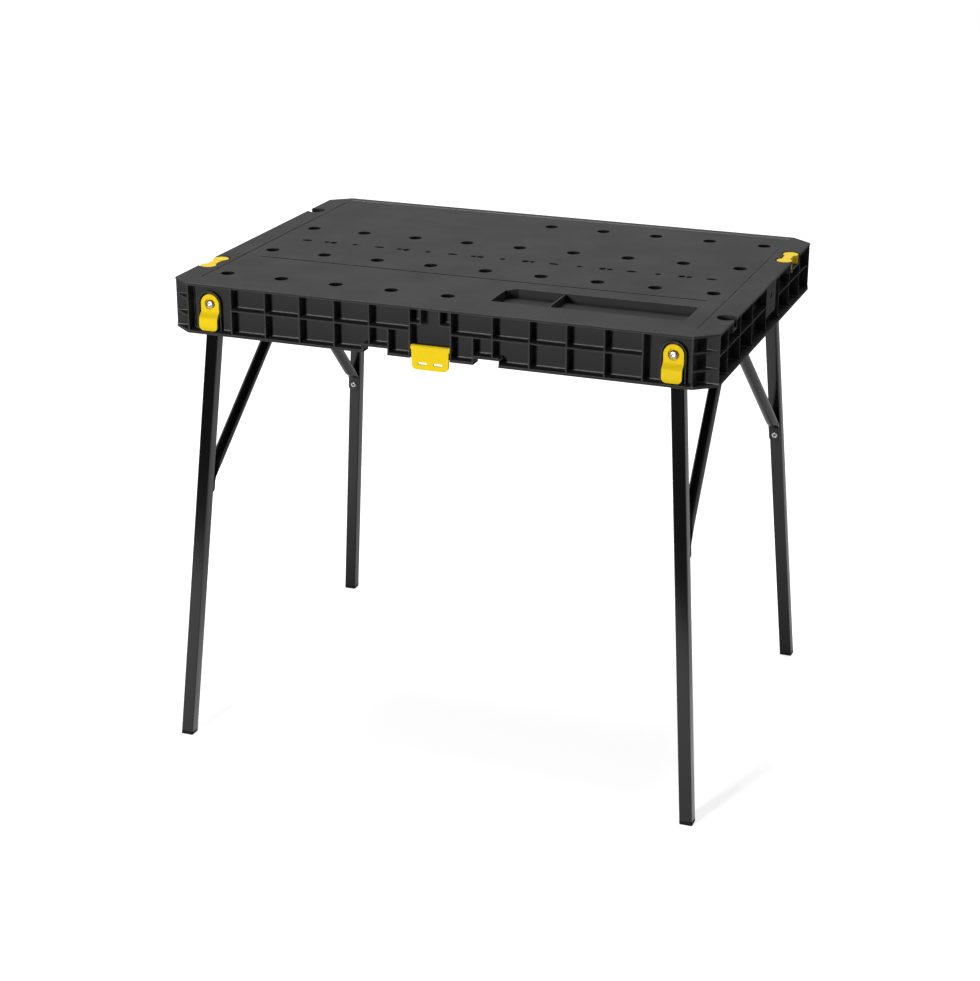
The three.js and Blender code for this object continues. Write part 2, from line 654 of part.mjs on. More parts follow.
// Small tool holes along the middle line: single holes, pairs and short slots in turn.
function toolHoles() {
  const holes = [];
  const z0 = PLATE_BOTTOM - OVERLAP;
  const z1 = DECK_HEIGHT + OVERLAP;
  const limit = HALF_WIDTH - DOG_EDGE_MARGIN;
  const drill = (diameter, x) => {
    if (Math.abs(x) < limit) {
      holes.push(uprightBore(diameter, x, 0, z0, z1));
    }
  };
  drill(TOOL_HOLE_DIAMETER, 0);
  for (const side of [-1, 1]) {
    for (let group = 0; group * TOOL_GROUP_PITCH < limit; group += 1) {
      const start = group * TOOL_GROUP_PITCH;
      drill(TOOL_HOLE_DIAMETER, side * (start + TOOL_GROUP_PITCH));
      drill(TOOL_HOLE_LARGE, side * (start + TOOL_PAIR_OFFSET - TOOL_HOLE_DIAMETER));
      drill(TOOL_HOLE_DIAMETER, side * (start + TOOL_PAIR_OFFSET + TOOL_HOLE_LARGE / 2));
      const slotX = side * (start + TOOL_SLOT_OFFSET);
      if (Math.abs(slotX) < limit) {
        const slot = slotPlan(slotX, 0, TOOL_SLOT_LENGTH, TOOL_HOLE_DIAMETER);
        holes.push(prism(slot, z0, z1, SMALL_SEGMENTS / 2));
      }
    }
  }
  return holes;
}

function slotPlan(x, y, length, width) {
  const straight = (length - width) / 2;
  const shape = new THREE.Shape();
  shape.absarc(x + straight, y, width / 2, -Math.PI / 2, Math.PI / 2);
  shape.absarc(x - straight, y, width / 2, Math.PI / 2, 1.5 * Math.PI);
  return shape;
}

function surfaceGrooves() {
  const half = GROOVE_WIDTH / 2;
  const vee = new THREE.Shape();
  vee.moveTo(-half, OVERLAP);
  vee.lineTo(-half, 0);
  vee.lineTo(0, -GROOVE_DEPTH);
  vee.lineTo(half, 0);
  vee.lineTo(half, OVERLAP);
  const start = new THREE.Vector3(-PIVOT_X, -GROOVE_OFFSET, DECK_HEIGHT);
  const axes = [new THREE.Vector3(0, 1, 0), new THREE.Vector3(0, 0, 1), new THREE.Vector3(1, 0, 0)];
  const grooves = [placed(prism(vee, 0, 2 * PIVOT_X), start, ...axes)];
  const lineX = HALF_WIDTH - EDGE_LINE_INSET;
  const lineY = HALF_DEPTH - EDGE_LINE_MARGIN;
  for (const side of [-1, 1]) {
    grooves.push(sidedBox(side, lineX - EDGE_LINE_WIDTH / 2, lineX + EDGE_LINE_WIDTH / 2, -lineY, lineY,
      DECK_HEIGHT - EDGE_LINE_DEPTH, DECK_HEIGHT + OVERLAP));
  }
  return grooves;
}

// A slightly lower band along the rear of the surface, wider at the right where it takes in the rear holes.
function rearBand() {
  const endX = HALF_WIDTH - EDGE_LINE_INSET;
  const rear = HALF_DEPTH - BAND_RIM;
  const front = HALF_DEPTH - BAND_DEPTH;
  const shape = new THREE.Shape();
  shape.moveTo(-endX, rear);
  shape.lineTo(-endX, front);
  shape.lineTo(-BAND_JOG_INSET - BAND_JOG_WIDTH, front);
  shape.lineTo(-BAND_JOG_INSET, DOG_ROW_PITCH);
  shape.lineTo(endX, DOG_ROW_PITCH);
  shape.lineTo(endX, rear);
  return prism(shape, DECK_HEIGHT - BAND_DROP, DECK_HEIGHT + OVERLAP);
}

const TRAY_FRONT = -HALF_DEPTH + TRAY_EDGE_DISTANCE;

function trayPlan(grow) {
  const x0 = TRAY_START - grow;
  const x1 = TRAY_START + TRAY_LENGTH + grow;
  const y0 = TRAY_FRONT - grow;
  const y1 = TRAY_FRONT + TRAY_WIDTH + grow;
  const shape = new THREE.Shape();
  shape.moveTo(x0, y0);
  shape.lineTo(x1, y0);
  shape.lineTo(x1, y1);
  shape.lineTo(x0 + TRAY_CORNER_CUT, y1);
  shape.lineTo(x0, y1 - TRAY_CORNER_CUT);
  return shape;
}

function trayCut() {
  const hollow = prism(trayPlan(0), TRAY_FLOOR_Z, DECK_HEIGHT + OVERLAP);
  const split = TRAY_START + TRAY_SPLIT;
  const divider = box(split, split + TRAY_WALL, TRAY_FRONT - OVERLAP, TRAY_FRONT + TRAY_WIDTH + OVERLAP,
    TRAY_FLOOR_Z - OVERLAP, DECK_HEIGHT - PLATE_EDGE_BEVEL);
  return geometryOf(solidOf(hollow).subtract(solidOf(divider)));
}

// Stiffening ribs under the plate, between the hole rows and clear of the folded legs.
function underRibs() {
  const half = UNDER_RIB_THICKNESS / 2;
  const reachX = PIVOT_X - BRACKET_REACH;
  const reachY = 1.25 * DOG_ROW_PITCH;
  const ribs = [];
  for (const side of [-1, 1]) {
    for (let x = DOG_COLUMN_PITCH / 2; x < reachX; x += DOG_COLUMN_PITCH) {
      ribs.push(box(side * x - half, side * x + half, -reachY, reachY, UNDERSIDE_Z, PLATE_BOTTOM + OVERLAP));
    }
    for (const row of [0.25, 0.75, 1.25]) {
      const y = side * row * DOG_ROW_PITCH;
      ribs.push(box(-reachX, reachX, y - half, y + half, UNDERSIDE_Z, PLATE_BOTTOM + OVERLAP));
    }
  }
  return ribs;
}

// Screw places of the right-hand bracket.
function bracketScrewPlaces() {
  const x = PIVOT_X + BRACKET_EAR_WIDTH / 2 + SCREW_HEAD_DIAMETER;
  return [-BRACE_PIN_OFFSET, BRACE_PIN_OFFSET].map((y) => ({ x, y }));
}

function bracketBosses() {
  return bracketScrewPlaces().map(({ x, y }) => uprightRod(SCREW_BOSS_DIAMETER, x, y,
    BRACKET_TOP_Z + GAP, PLATE_BOTTOM + OVERLAP, SMALL_SEGMENTS));
}

function bracketScrewCuts() {
  const hole = SCREW_DIAMETER + 2 * GAP;
  const cuts = bracketScrewPlaces().map(({ x, y }) => uprightBore(hole, x, y,
    BRACKET_TOP_Z - OVERLAP, BRACKET_TOP_Z + GAP + SCREW_BITE + GAP));
  const outer = HALF_WIDTH + OVERLAP;
  const sideLine = (x) => new THREE.Vector3(x, SIDE_PANEL_MIDDLE, SIDE_SCREW_Z);
  cuts.push(bore(hole, sideLine(WALL_BACK_X - OVERLAP), sideLine(WALL_FACE_X + OVERLAP)));
  cuts.push(bore(SIDE_SCREW_ACCESS, sideLine(HALF_WIDTH - CELL_DEPTH / 2), sideLine(outer)));
  return cuts;
}

function worktop() {
  const rightEnd = [...shortSide(), pocketWalls(), ...bracketBosses()];
  const frontSide = [...longSide(), ...latchBay(-1), ...latchBay(1)];
  const solids = [
    plate(),
    deckRing(CELL_DEPTH, WALL_INSET, DECK_BOTTOM, PLATE_BOTTOM + OVERLAP),
    deckRing(0, WALL_INSET - OVERLAP, DECK_BOTTOM, FLANGE_TOP),
    cornerRibs(),
    ...frontSide,
    ...frontSide.map(halfTurned),
    ...rightEnd,
    ...rightEnd.map(halfTurned),
    longMidRib(-CENTRE_BAY_X, CENTRE_BAY_X).rotateZ(Math.PI),
    ...haspBayRibs(),
    prism(trayPlan(TRAY_WALL), UNDERSIDE_Z, PLATE_BOTTOM + OVERLAP),
    ...underRibs(),
    ...dogSleeves(),
  ];
  const paired = [...latchBayCuts(-1), ...latchBayCuts(1), ...pocketCuts(), ...bracketScrewCuts()];
  const cuts = [
    ...paired,
    ...paired.map(halfTurned),
    ...haspBayCuts(),
    ...dogHoles(),
    ...toolHoles(),
    ...surfaceGrooves(),
    rearBand(),
    trayCut(),
  ];
  return carve(solids, cuts);
}

// Leg unit

function legLocal(lines, geometry) {
  return placed(geometry, lines.pivot, lines.across, lines.inward, lines.up);
}

function legEnd(lines) {
  return -(PIVOT_Z - SOLE_THICKNESS) / lines.up.z;
}

function rivetPlace(lines) {
  return (BRACE_RIVET_HEIGHT - PIVOT_Z) / lines.up.z;
}

function legTube(side) {
  const lines = cornerLines(side);
  const shape = roundedSquare(LEG_SIZE, LEG_CORNER);
  shape.holes.push(roundedSquare(LEG_SIZE - 2 * LEG_WALL, LEG_CORNER / 2));
  const tube = legLocal(lines, prism(shape, legEnd(lines), LEG_TOP_REACH, 2));
  const pierce = LEG_SIZE;
  const boltHole = bore(BOLT_DIAMETER + 2 * GAP, along(lines.pivot, lines.outward, -pierce),
    along(lines.pivot, lines.outward, pierce));
  const rivet = along(lines.pivot, lines.up, rivetPlace(lines));
  const rivetHole = bore(RIVET_DIAMETER + 2 * GAP, rivet, along(rivet, lines.inward, pierce));
  const pegPlace = new THREE.Vector3(lines.head.x, lines.pivot.y, lines.head.z - LATCH_PEG_DROP);
  const pegEnd = pegPlace.clone().setY(pegPlace.y - pierce);
  const pegHole = bore(LATCH_PEG_DIAMETER + 4 * GAP, pegPlace, pegEnd);
  return carve([tube], [boltHole, rivetHole, pegHole]);
}

function footCap(side) {
  const lines = cornerLines(side);
  const top = legEnd(lines) - GAP;
  const floorReach = top - 2 * SOLE_THICKNESS;
  const inside = roundedSquare(LEG_SIZE - 2 * LEG_WALL - 2 * GAP, LEG_CORNER / 2);
  const sole = legLocal(lines, prism(roundedSquare(LEG_SIZE, LEG_CORNER), floorReach, top, 2));
  const plug = legLocal(lines, prism(inside, top - OVERLAP, top + CAP_PLUG_LENGTH, 2));
  const spread = DECK_WIDTH;
  return carve([sole, plug], [box(-spread, spread, -spread, spread, -spread, 0)]);
}

function pivotWasher(side) {
  const lines = cornerLines(side);
  const inner = (BOLT_DIAMETER / 2 + GAP) / Math.cos(Math.PI / SMALL_SEGMENTS);
  const rim = WASHER_DIAMETER / 2;
  const profile = [[inner, 0], [rim, 0], [rim, WASHER_THICKNESS], [inner, WASHER_THICKNESS], [inner, 0]];
  const start = along(lines.pivot, lines.outward, WASHER_START);
  return turned(profile, start, lines.outward, SMALL_SEGMENTS);
}

// Places along a brace with the half width and half thickness of the tube there: a flat tab on the
// leg, a bend, the round tube, a bend and a flat tab on the bracket's ear.
function braceSections(lines) {
  const seat = LEG_SIZE / 2 + GAP + BRACE_TAB_THICKNESS / 2;
  const rivet = along(along(lines.pivot, lines.up, rivetPlace(lines)), lines.inward, seat);
  const lowerBend = along(rivet, lines.up, BRACE_TAB_LENGTH - BRACE_TAB_END);
  const upperBend = along(lines.pin, lines.pinUp, -BRACE_TAB_LENGTH);
  const run = new THREE.Vector3().subVectors(upperBend, lowerBend).normalize();
  const runAcross = new THREE.Vector3(1, 0, 0).addScaledVector(run, -run.x).normalize();
  const runBack = new THREE.Vector3().crossVectors(run, runAcross);
  const legAxes = [lines.across, lines.inward];
  const runAxes = [runAcross, runBack];
  const pinAxes = [lines.pinAcross, lines.outward.clone().negate()];
  const tabCorner = BRACE_TAB_END / 2;
  const flat = { half: [BRACE_TAB_WIDTH / 2, BRACE_TAB_THICKNESS / 2], square: true };
  const tip = { half: [BRACE_TAB_WIDTH / 2 - tabCorner, BRACE_TAB_THICKNESS / 2], square: true };
  const round = { half: [BRACE_DIAMETER / 2, BRACE_DIAMETER / 2], square: false };
  return [
    { at: along(rivet, lines.up, -BRACE_TAB_END), axes: legAxes, ...tip },
    { at: along(rivet, lines.up, -tabCorner), axes: legAxes, ...flat },
    { at: lowerBend, axes: legAxes, ...flat },
    { at: along(lowerBend, run, BRACE_TAPER), axes: runAxes, ...round },
    { at: along(upperBend, run, -BRACE_TAPER), axes: runAxes, ...round },
    { at: upperBend, axes: pinAxes, ...flat },
    { at: along(lines.pin, lines.pinUp, tabCorner), axes: pinAxes, ...flat },
    { at: along(lines.pin, lines.pinUp, BRACE_TAB_END), axes: pinAxes, ...tip },
  ];
}

// One closed ring of points: an ellipse, or nearly a rectangle where square is set.
function sectionRing({ at, axes, half, square }) {
  const power = square ? 0.35 : 1;
  const points = [];
  for (let i = 0; i < ROUND_SEGMENTS; i += 1) {
    const angle = 2 * Math.PI * i / ROUND_SEGMENTS;
    const u = Math.sign(Math.cos(angle)) * Math.abs(Math.cos(angle)) ** power;
    const v = Math.sign(Math.sin(angle)) * Math.abs(Math.sin(angle)) ** power;
    points.push(along(along(at, axes[0], u * half[0]), axes[1], v * half[1]));
  }
  return points;
}

// A skin over rings of equal count, closed by a fan at each end.
function loft(rings) {
  const count = rings[0].length;
  const positions = [];
  const triangle = (a, b, c) => [a, b, c].forEach((point) => positions.push(point.x, point.y, point.z));
  for (let ring = 0; ring + 1 < rings.length; ring += 1) {
    for (let i = 0; i < count; i += 1) {
      const next = (i + 1) % count;
      triangle(rings[ring][i], rings[ring][next], rings[ring + 1][next]);
      triangle(rings[ring][i], rings[ring + 1][next], rings[ring + 1][i]);
    }
  }
  const last = rings[rings.length - 1];
  for (let i = 1; i + 1 < count; i += 1) {
    triangle(rings[0][0], rings[0][i + 1], rings[0][i]);
    triangle(last[0], last[i], last[i + 1]);
  }
  const geometry = new THREE.BufferGeometry();
  geometry.setAttribute('position', new THREE.Float32BufferAttribute(positions, 3));
  return geometry;
}

function brace(side) {
  const lines = cornerLines(side);
  const tube = loft(braceSections(lines).map(sectionRing));
  const pierce = BRACE_DIAMETER;
  const rivet = along(lines.pivot, lines.up, rivetPlace(lines));
  const rivetHole = bore(RIVET_DIAMETER + 2 * GAP, rivet, along(rivet, lines.inward, 2 * pierce));
  const pinHole = bore(BRACE_PIN_DIAMETER + 2 * GAP, along(lines.pin, lines.outward, -pierce),
    along(lines.pin, lines.outward, pierce));
  return carve([tube], [rivetHole, pinHole]);
}

// A hollow rivet with a round head over the brace and a curled collar inside the leg.
function braceRivet(side) {
  const lines = cornerLines(side);
  const origin = along(lines.pivot, lines.up, rivetPlace(lines));
  const inner = RIVET_BORE / 2;
  const shank = RIVET_DIAMETER / 2;
  const head = RIVET_HEAD_DIAMETER / 2;
  const collarEnd = LEG_SIZE / 2 - LEG_WALL - GAP;
  const headStart = LEG_SIZE / 2 + 2 * GAP + BRACE_TAB_THICKNESS;
  const headEnd = headStart + RIVET_HEAD_HEIGHT;
  const profile = [
    [inner, collarEnd - RIVET_HEAD_HEIGHT], [shank + 2 * GAP, collarEnd - RIVET_HEAD_HEIGHT],
    [shank + 4 * GAP, collarEnd], [shank, collarEnd], [shank, headStart], [head, headStart],
    [head, headStart + RIVET_HEAD_HEIGHT / 2], [head - RIVET_HEAD_HEIGHT / 2, headEnd], [inner, headEnd],
    [inner, collarEnd - RIVET_HEAD_HEIGHT],
  ];
  return turned(profile, origin, lines.inward, SMALL_SEGMENTS);
}

// Pivot hardware

function pivotBolt(side) {
  const lines = cornerLines(side);
  const shank = BOLT_DIAMETER / 2;
  const head = BOLT_HEAD_DIAMETER / 2;
  const socket = BOLT_SOCKET_DIAMETER / 2;
  const end = -LEG_SIZE / 2 - 2 * GAP - NUT_HEIGHT - BOLT_END_REACH;
  const seat = lines.head.distanceTo(lines.pivot);
  const top = seat + BOLT_HEAD_HEIGHT;
  const profile = [
    [0, end], [shank, end], [shank, seat], [head, seat], [head, seat + BOLT_HEAD_HEIGHT / 3],
    [head - BOLT_HEAD_HEIGHT / 2, top], [socket, top], [socket, top - BOLT_HEAD_HEIGHT / 2],
    [0, top - BOLT_HEAD_HEIGHT / 2],
  ];
  return turned(profile, lines.pivot, lines.outward, SMALL_SEGMENTS);
}

function pivotNut(side) {
  const lines = cornerLines(side);
  const start = along(lines.pivot, lines.outward, -LEG_SIZE / 2 - 2 * GAP);
  const end = along(start, lines.outward, -NUT_HEIGHT);
  const body = bore(NUT_ACROSS_FLATS, start, end, 6);
  const hole = bore(BOLT_DIAMETER + 2 * GAP, lines.pivot, along(end, lines.outward, -OVERLAP));
  return carve([body], [hole]);
}

// The pin through a brace's upper tab and the bracket's ear, headed on both sides.
function bracePin(side) {
  const lines = cornerLines(side);
  const shank = BRACE_PIN_DIAMETER / 2;
  const head = BOLT_HEAD_DIAMETER / 2;
  const outer = BRACE_TAB_THICKNESS / 2 + GAP;
  const inner = -BRACE_TAB_THICKNESS / 2 - 2 * GAP - BRACKET_THICKNESS;
  const innerEnd = inner - RIVET_HEAD_HEIGHT;
  const outerEnd = outer + RIVET_HEAD_HEIGHT;
  const profile = [
    [0, innerEnd], [head - OVERLAP, innerEnd], [head, inner], [shank, inner],
    [shank, outer], [head, outer], [head - OVERLAP, outerEnd], [0, outerEnd],
  ];
  return turned(profile, lines.pin, lines.outward, SMALL_SEGMENTS);
}

// Bracket at the right end: a top plate under the deck, two leaning ears for the braces and a flange
// on the skirt wall.
function ear(lines) {
  const half = BRACKET_EAR_WIDTH / 2;
  const top = (BRACKET_TOP_Z - OVERLAP - lines.pin.z) / lines.pinUp.z;
  const shape = new THREE.Shape();
  shape.moveTo(half, top);
  shape.lineTo(-half, top);
  shape.lineTo(-half, 0);
  shape.absarc(0, 0, half, Math.PI, 2 * Math.PI);
  const start = along(lines.pin, lines.outward, -BRACE_TAB_THICKNESS / 2 - GAP);
  const leaf = prism(shape, -BRACKET_THICKNESS, 0, SMALL_SEGMENTS);
  return placed(leaf, start, lines.pinAcross, lines.pinUp, lines.outward.clone());
}

function rearLines(side) {
  const lines = cornerLines(-side);
  const turn = new THREE.Matrix4().makeRotationZ(Math.PI);
  Object.values(lines).forEach((vector) => vector.applyMatrix4(turn));
  return lines;
}

function braceBracket() {
  const front = cornerLines(1);
  const rear = rearLines(1);
  const innerX = PIVOT_X - BRACKET_EAR_WIDTH / 2;
  const outerX = WALL_BACK_X - GAP;
  const startY = -BRACE_PIN_OFFSET - BRACKET_MARGIN;
  const endY = SIDE_PANEL_MIDDLE + BRACKET_MARGIN;
  const roof = box(innerX, outerX, startY, endY, BRACKET_TOP_Z - BRACKET_THICKNESS, BRACKET_TOP_Z);
  const flangeBottom = SIDE_SCREW_Z - BRACKET_MARGIN;
  const flange = box(outerX - BRACKET_THICKNESS, outerX, SIDE_PANEL_MIDDLE - BRACKET_MARGIN, endY,
    flangeBottom, BRACKET_TOP_Z);
  const screwHole = SCREW_DIAMETER + 2 * GAP;
  const pinHole = BRACE_PIN_DIAMETER + 2 * GAP;
  const cuts = [front, rear].map(({ pin, outward }) => bore(pinHole,
    along(pin, outward, -BRACE_PIN_OFFSET / 2), along(pin, outward, BRACE_PIN_OFFSET / 2)));
  bracketScrewPlaces().forEach(({ x, y }) => cuts.push(uprightBore(screwHole, x, y,
    BRACKET_TOP_Z - BRACKET_THICKNESS - OVERLAP, BRACKET_TOP_Z + OVERLAP)));
  cuts.push(bore(screwHole, new THREE.Vector3(outerX + OVERLAP, SIDE_PANEL_MIDDLE, SIDE_SCREW_Z),
    new THREE.Vector3(outerX - BRACKET_THICKNESS - OVERLAP, SIDE_PANEL_MIDDLE, SIDE_SCREW_Z)));
  return carve([roof, flange, ear(front), ear(rear)], cuts);
}

// A pan-headed screw whose head sits at origin, with the shank along direction.
function screw(origin, direction, length) {
  const head = SCREW_HEAD_DIAMETER / 2;
  const shank = SCREW_DIAMETER / 2;
  const profile = [
    [0, -SCREW_HEAD_HEIGHT], [head - OVERLAP, -SCREW_HEAD_HEIGHT], [head, -SCREW_HEAD_HEIGHT / 2], [head, 0],
    [shank, 0], [shank, length - shank], [0, length],
  ];
  return turned(profile, origin, direction, SMALL_SEGMENTS);
}

function bracketScrew(index) {
  const { x, y } = bracketScrewPlaces()[index];
  const origin = new THREE.Vector3(x, y, BRACKET_TOP_Z - BRACKET_THICKNESS - GAP);
  return screw(origin, new THREE.Vector3(0, 0, 1), BRACKET_THICKNESS + 2 * GAP + SCREW_BITE);
}

function sideScrew() {
  const origin = new THREE.Vector3(WALL_FACE_X + GAP, SIDE_PANEL_MIDDLE, SIDE_SCREW_Z);
  return screw(origin, new THREE.Vector3(-1, 0, 0), SKIRT_WALL + BRACKET_THICKNESS + SCREW_HEAD_HEIGHT);
}

// Leg latch: a sprung plate with a stepped lower tab and a locking peg, hung from its top edge.
function latch(side) {
  const radius = LATCH_WIDTH / 2;
  const bottom = radius - LATCH_LENGTH;
  const face = new THREE.Shape();
  face.moveTo(-radius, 0);
  face.lineTo(-radius, bottom + LATCH_CORNER);
  face.absarc(-radius + LATCH_CORNER, bottom + LATCH_CORNER, LATCH_CORNER, Math.PI, 1.5 * Math.PI);
  face.lineTo(radius - LATCH_CORNER, bottom);
  face.absarc(radius - LATCH_CORNER, bottom + LATCH_CORNER, LATCH_CORNER, 1.5 * Math.PI, 2 * Math.PI);
  face.lineTo(radius, 0);
  face.absarc(0, 0, radius, 0, Math.PI);
  const jogEnd = -LATCH_JOG_START - LATCH_JOG_LENGTH;
  const jogMiddle = -LATCH_JOG_START - LATCH_JOG_LENGTH / 2;
  const tabBack = GAP + LATCH_TAB_OFFSET;
  const plateFront = GAP + LATCH_PLATE;
  const tabFront = tabBack + LATCH_TAB;
  const profile = new THREE.Shape();
  profile.moveTo(GAP, radius);
  profile.lineTo(GAP, -LATCH_JOG_START - LATCH_TAB);
  profile.lineTo(tabBack, jogEnd - LATCH_TAB);
  profile.lineTo(tabBack, bottom);
  profile.lineTo(tabFront, bottom);
  profile.lineTo(tabFront, jogEnd);
  profile.bezierCurveTo(tabFront, jogMiddle, plateFront, jogMiddle, plateFront, -LATCH_JOG_START);
  profile.lineTo(plateFront, radius);
  const { head } = cornerLines(side);
  const origin = new THREE.Vector3(head.x, -WALL_FACE_Y, head.z);
  const outward = new THREE.Vector3(0, -1, 0);
  const sideways = new THREE.Vector3(-1, 0, 0);
  const upward = new THREE.Vector3(0, 0, 1);
  const slab = placed(prism(profile, -radius, radius, 6), origin, outward, upward, sideways);
  const front = frontPrism(face, 0, -HALF_DEPTH + WALL_FACE_Y).translate(...origin);
  const pegStart = along(origin, upward, -LATCH_PEG_DROP);
  const peg = rod(LATCH_PEG_DIAMETER, along(pegStart, outward, -SKIRT_WALL - LATCH_PEG_REACH),
    along(pegStart, outward, tabBack + OVERLAP));
  const seat = bore(LATCH_SEAT_DIAMETER, along(origin, outward, plateFront - LATCH_SEAT_DEPTH),
    along(origin, outward, tabFront), ROUND_SEGMENTS);
  const boltHole = bore(LATCH_BOLT_HOLE, along(origin, outward, -OVERLAP), along(origin, outward, tabFront));
  return carve([common([slab, front]), peg], [seat, boltHole]);
}

// Hasp: a plate with a rolled upper edge round its pin and two slots near the lower edge.
function hasp() {
  const half = HASP_WIDTH / 2;
  const bottom = HASP_BEAD_DIAMETER / 2 - HASP_LENGTH;
  const face = new THREE.Shape();
  face.moveTo(-half, 0);
  face.lineTo(-half, bottom + HASP_CORNER);
  face.absarc(-half + HASP_CORNER, bottom + HASP_CORNER, HASP_CORNER, Math.PI, 1.5 * Math.PI);
  face.lineTo(half - HASP_CORNER, bottom);
  face.absarc(half - HASP_CORNER, bottom + HASP_CORNER, HASP_CORNER, 1.5 * Math.PI, 2 * Math.PI);
  face.lineTo(half, 0);
  for (const x of [-HASP_SLOT_SPACING / 2, HASP_SLOT_SPACING / 2]) {
    face.holes.push(slotPlan(x, bottom + HASP_SLOT_RISE, HASP_SLOT_LENGTH, HASP_SLOT_WIDTH));
  }
  const origin = new THREE.Vector3(0, -HASP_PIN_Y, HASP_PIN_Z);
  const front = -HASP_BEAD_DIAMETER / 2;
  const leaf = frontPrism(face, front + HASP_THICKNESS, front, 6).translate(...origin);
  const beadEnd = CENTRE_BAY_X - RIB_THICKNESS / 2 - GAP;
  const end = new THREE.Vector3(beadEnd, 0, 0);
  const bead = rod(HASP_BEAD_DIAMETER, origin.clone().sub(end), origin.clone().add(end), ROUND_SEGMENTS);
  const beyond = new THREE.Vector3(beadEnd + OVERLAP, 0, 0);
  const hole = bore(HASP_PIN_DIAMETER + 2 * GAP, origin.clone().sub(beyond), origin.clone().add(beyond));
  return carve([leaf, bead], [hole]);
}

function haspPin() {
  const end = new THREE.Vector3(CENTRE_BAY_X + RIB_THICKNESS / 2, -HASP_PIN_Y, HASP_PIN_Z);
  return rod(HASP_PIN_DIAMETER, end.clone().setX(-end.x), end);
}

// Link key at the right end: two round lobes on a waist, with a peg that goes through the pocket's floor.
function linkKey() {
  const radius = KEY_LOBE_DIAMETER / 2;
  const bottom = KEY_TOP_Z - KEY_THICKNESS;
  const farY = KEY_SEAT_Y - KEY_LOBE_SPACING;
  const waist = rectangle(KEY_SEAT_X - KEY_WAIST / 2, KEY_SEAT_X + KEY_WAIST / 2, farY, KEY_SEAT_Y);
  const plans = [circle(KEY_SEAT_X, KEY_SEAT_Y, radius), circle(KEY_SEAT_X, farY, radius), waist];
  const body = plans.map((plan) => prism(plan, bottom, KEY_TOP_Z, ROUND_SEGMENTS));
  const peg = uprightRod(KEY_PEG_DIAMETER, KEY_SEAT_X, KEY_SEAT_Y, bottom - KEY_PEG_LENGTH, bottom + OVERLAP);
  return geometryOf(union([...body, peg]));
}

// Assembly: the front half of the scene is built, and the rear half is the same turned by half a turn

function named(name, geometry, material) {
  const mesh = new THREE.Mesh(geometry, material);
  mesh.name = name;
  return mesh;
}

function cornerPieces(side, place) {
  return [
    named(`leg_tube_${place}`, legTube(side), PAINTED_STEEL),
    named(`brace_${place}`, brace(side), PAINTED_STEEL),
    named(`brace_rivet_${place}`, braceRivet(side), BRIGHT_STEEL),
    named(`foot_cap_${place}`, footCap(side), RUBBER),
    named(`pivot_washer_${place}`, pivotWasher(side), BRIGHT_STEEL),
    named(`pivot_bolt_${place}`, pivotBolt(side), BRIGHT_STEEL),
    named(`pivot_nut_${place}`, pivotNut(side), BRIGHT_STEEL),
    named(`brace_pin_${place}`, bracePin(side), BRIGHT_STEEL),
    named(`leg_latch_${place}`, latch(side), YELLOW),
  ];
}

function endPieces(place) {
  return [
    named(`brace_bracket_${place}`, braceBracket(), PAINTED_STEEL),
    named(`bracket_screw_a_${place}`, bracketScrew(0), BRIGHT_STEEL),
    named(`bracket_screw_b_${place}`, bracketScrew(1), BRIGHT_STEEL),
    named(`side_screw_${place}`, sideScrew(), BRIGHT_STEEL),
    named(`link_key_${place}`, linkKey(), YELLOW),
  ];
}

const workbench = new THREE.Group();
const turnedHalf = new THREE.Group();
turnedHalf.rotation.z = Math.PI;
workbench.add(named('worktop', worktop(), RESIN));
workbench.add(...cornerPieces(-1, 'front_left'), ...cornerPieces(1, 'front_right'), ...endPieces('right'));
turnedHalf.add(...cornerPieces(-1, 'rear_right'), ...cornerPieces(1, 'rear_left'), ...endPieces('left'));
workbench.add(named('hasp', hasp(), YELLOW), named('hasp_pin', haspPin(), BRIGHT_STEEL));
workbench.add(turnedHalf);

export default workbench;
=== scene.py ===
"""Dresses the folding workbench: a moulded deck on four folding legs, with yellow fittings.

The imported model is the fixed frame. Every piece is in metres, in the frame of the model, and rides on
the body that carries it.
"""

import json
import logging
import math
from dataclasses import dataclass
from enum import Enum
from typing import Iterable, Sequence

import bmesh
import bpy
from mathutils import Matrix, Vector


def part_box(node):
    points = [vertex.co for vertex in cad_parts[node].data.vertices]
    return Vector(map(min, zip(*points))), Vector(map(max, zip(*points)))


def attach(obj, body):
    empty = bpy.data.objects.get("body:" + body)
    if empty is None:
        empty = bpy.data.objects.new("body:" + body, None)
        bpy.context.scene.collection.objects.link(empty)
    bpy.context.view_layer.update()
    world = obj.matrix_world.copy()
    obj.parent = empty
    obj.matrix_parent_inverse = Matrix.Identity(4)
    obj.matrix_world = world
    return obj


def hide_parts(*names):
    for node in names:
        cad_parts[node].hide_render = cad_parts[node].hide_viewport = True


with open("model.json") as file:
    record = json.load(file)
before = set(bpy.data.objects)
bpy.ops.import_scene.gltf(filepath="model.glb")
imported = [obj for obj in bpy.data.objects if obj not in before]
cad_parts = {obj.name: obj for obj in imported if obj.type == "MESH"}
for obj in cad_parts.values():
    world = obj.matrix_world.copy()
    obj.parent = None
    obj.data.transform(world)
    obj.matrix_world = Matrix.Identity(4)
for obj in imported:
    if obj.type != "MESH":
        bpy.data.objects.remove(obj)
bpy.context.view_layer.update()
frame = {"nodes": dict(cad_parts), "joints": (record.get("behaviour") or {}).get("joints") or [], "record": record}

LOG = logging.getLogger("workbench")
MM = 0.001
# Face attribute that marks the roundings and how strongly they carry the painted highlight.
ROUNDING = "rounding"


class Corner(Enum):
    """The four corners of the bench, as the nodes name them."""

    FRONT_LEFT = "front_left"
    FRONT_RIGHT = "front_right"
    REAR_LEFT = "rear_left"
    REAR_RIGHT = "rear_right"


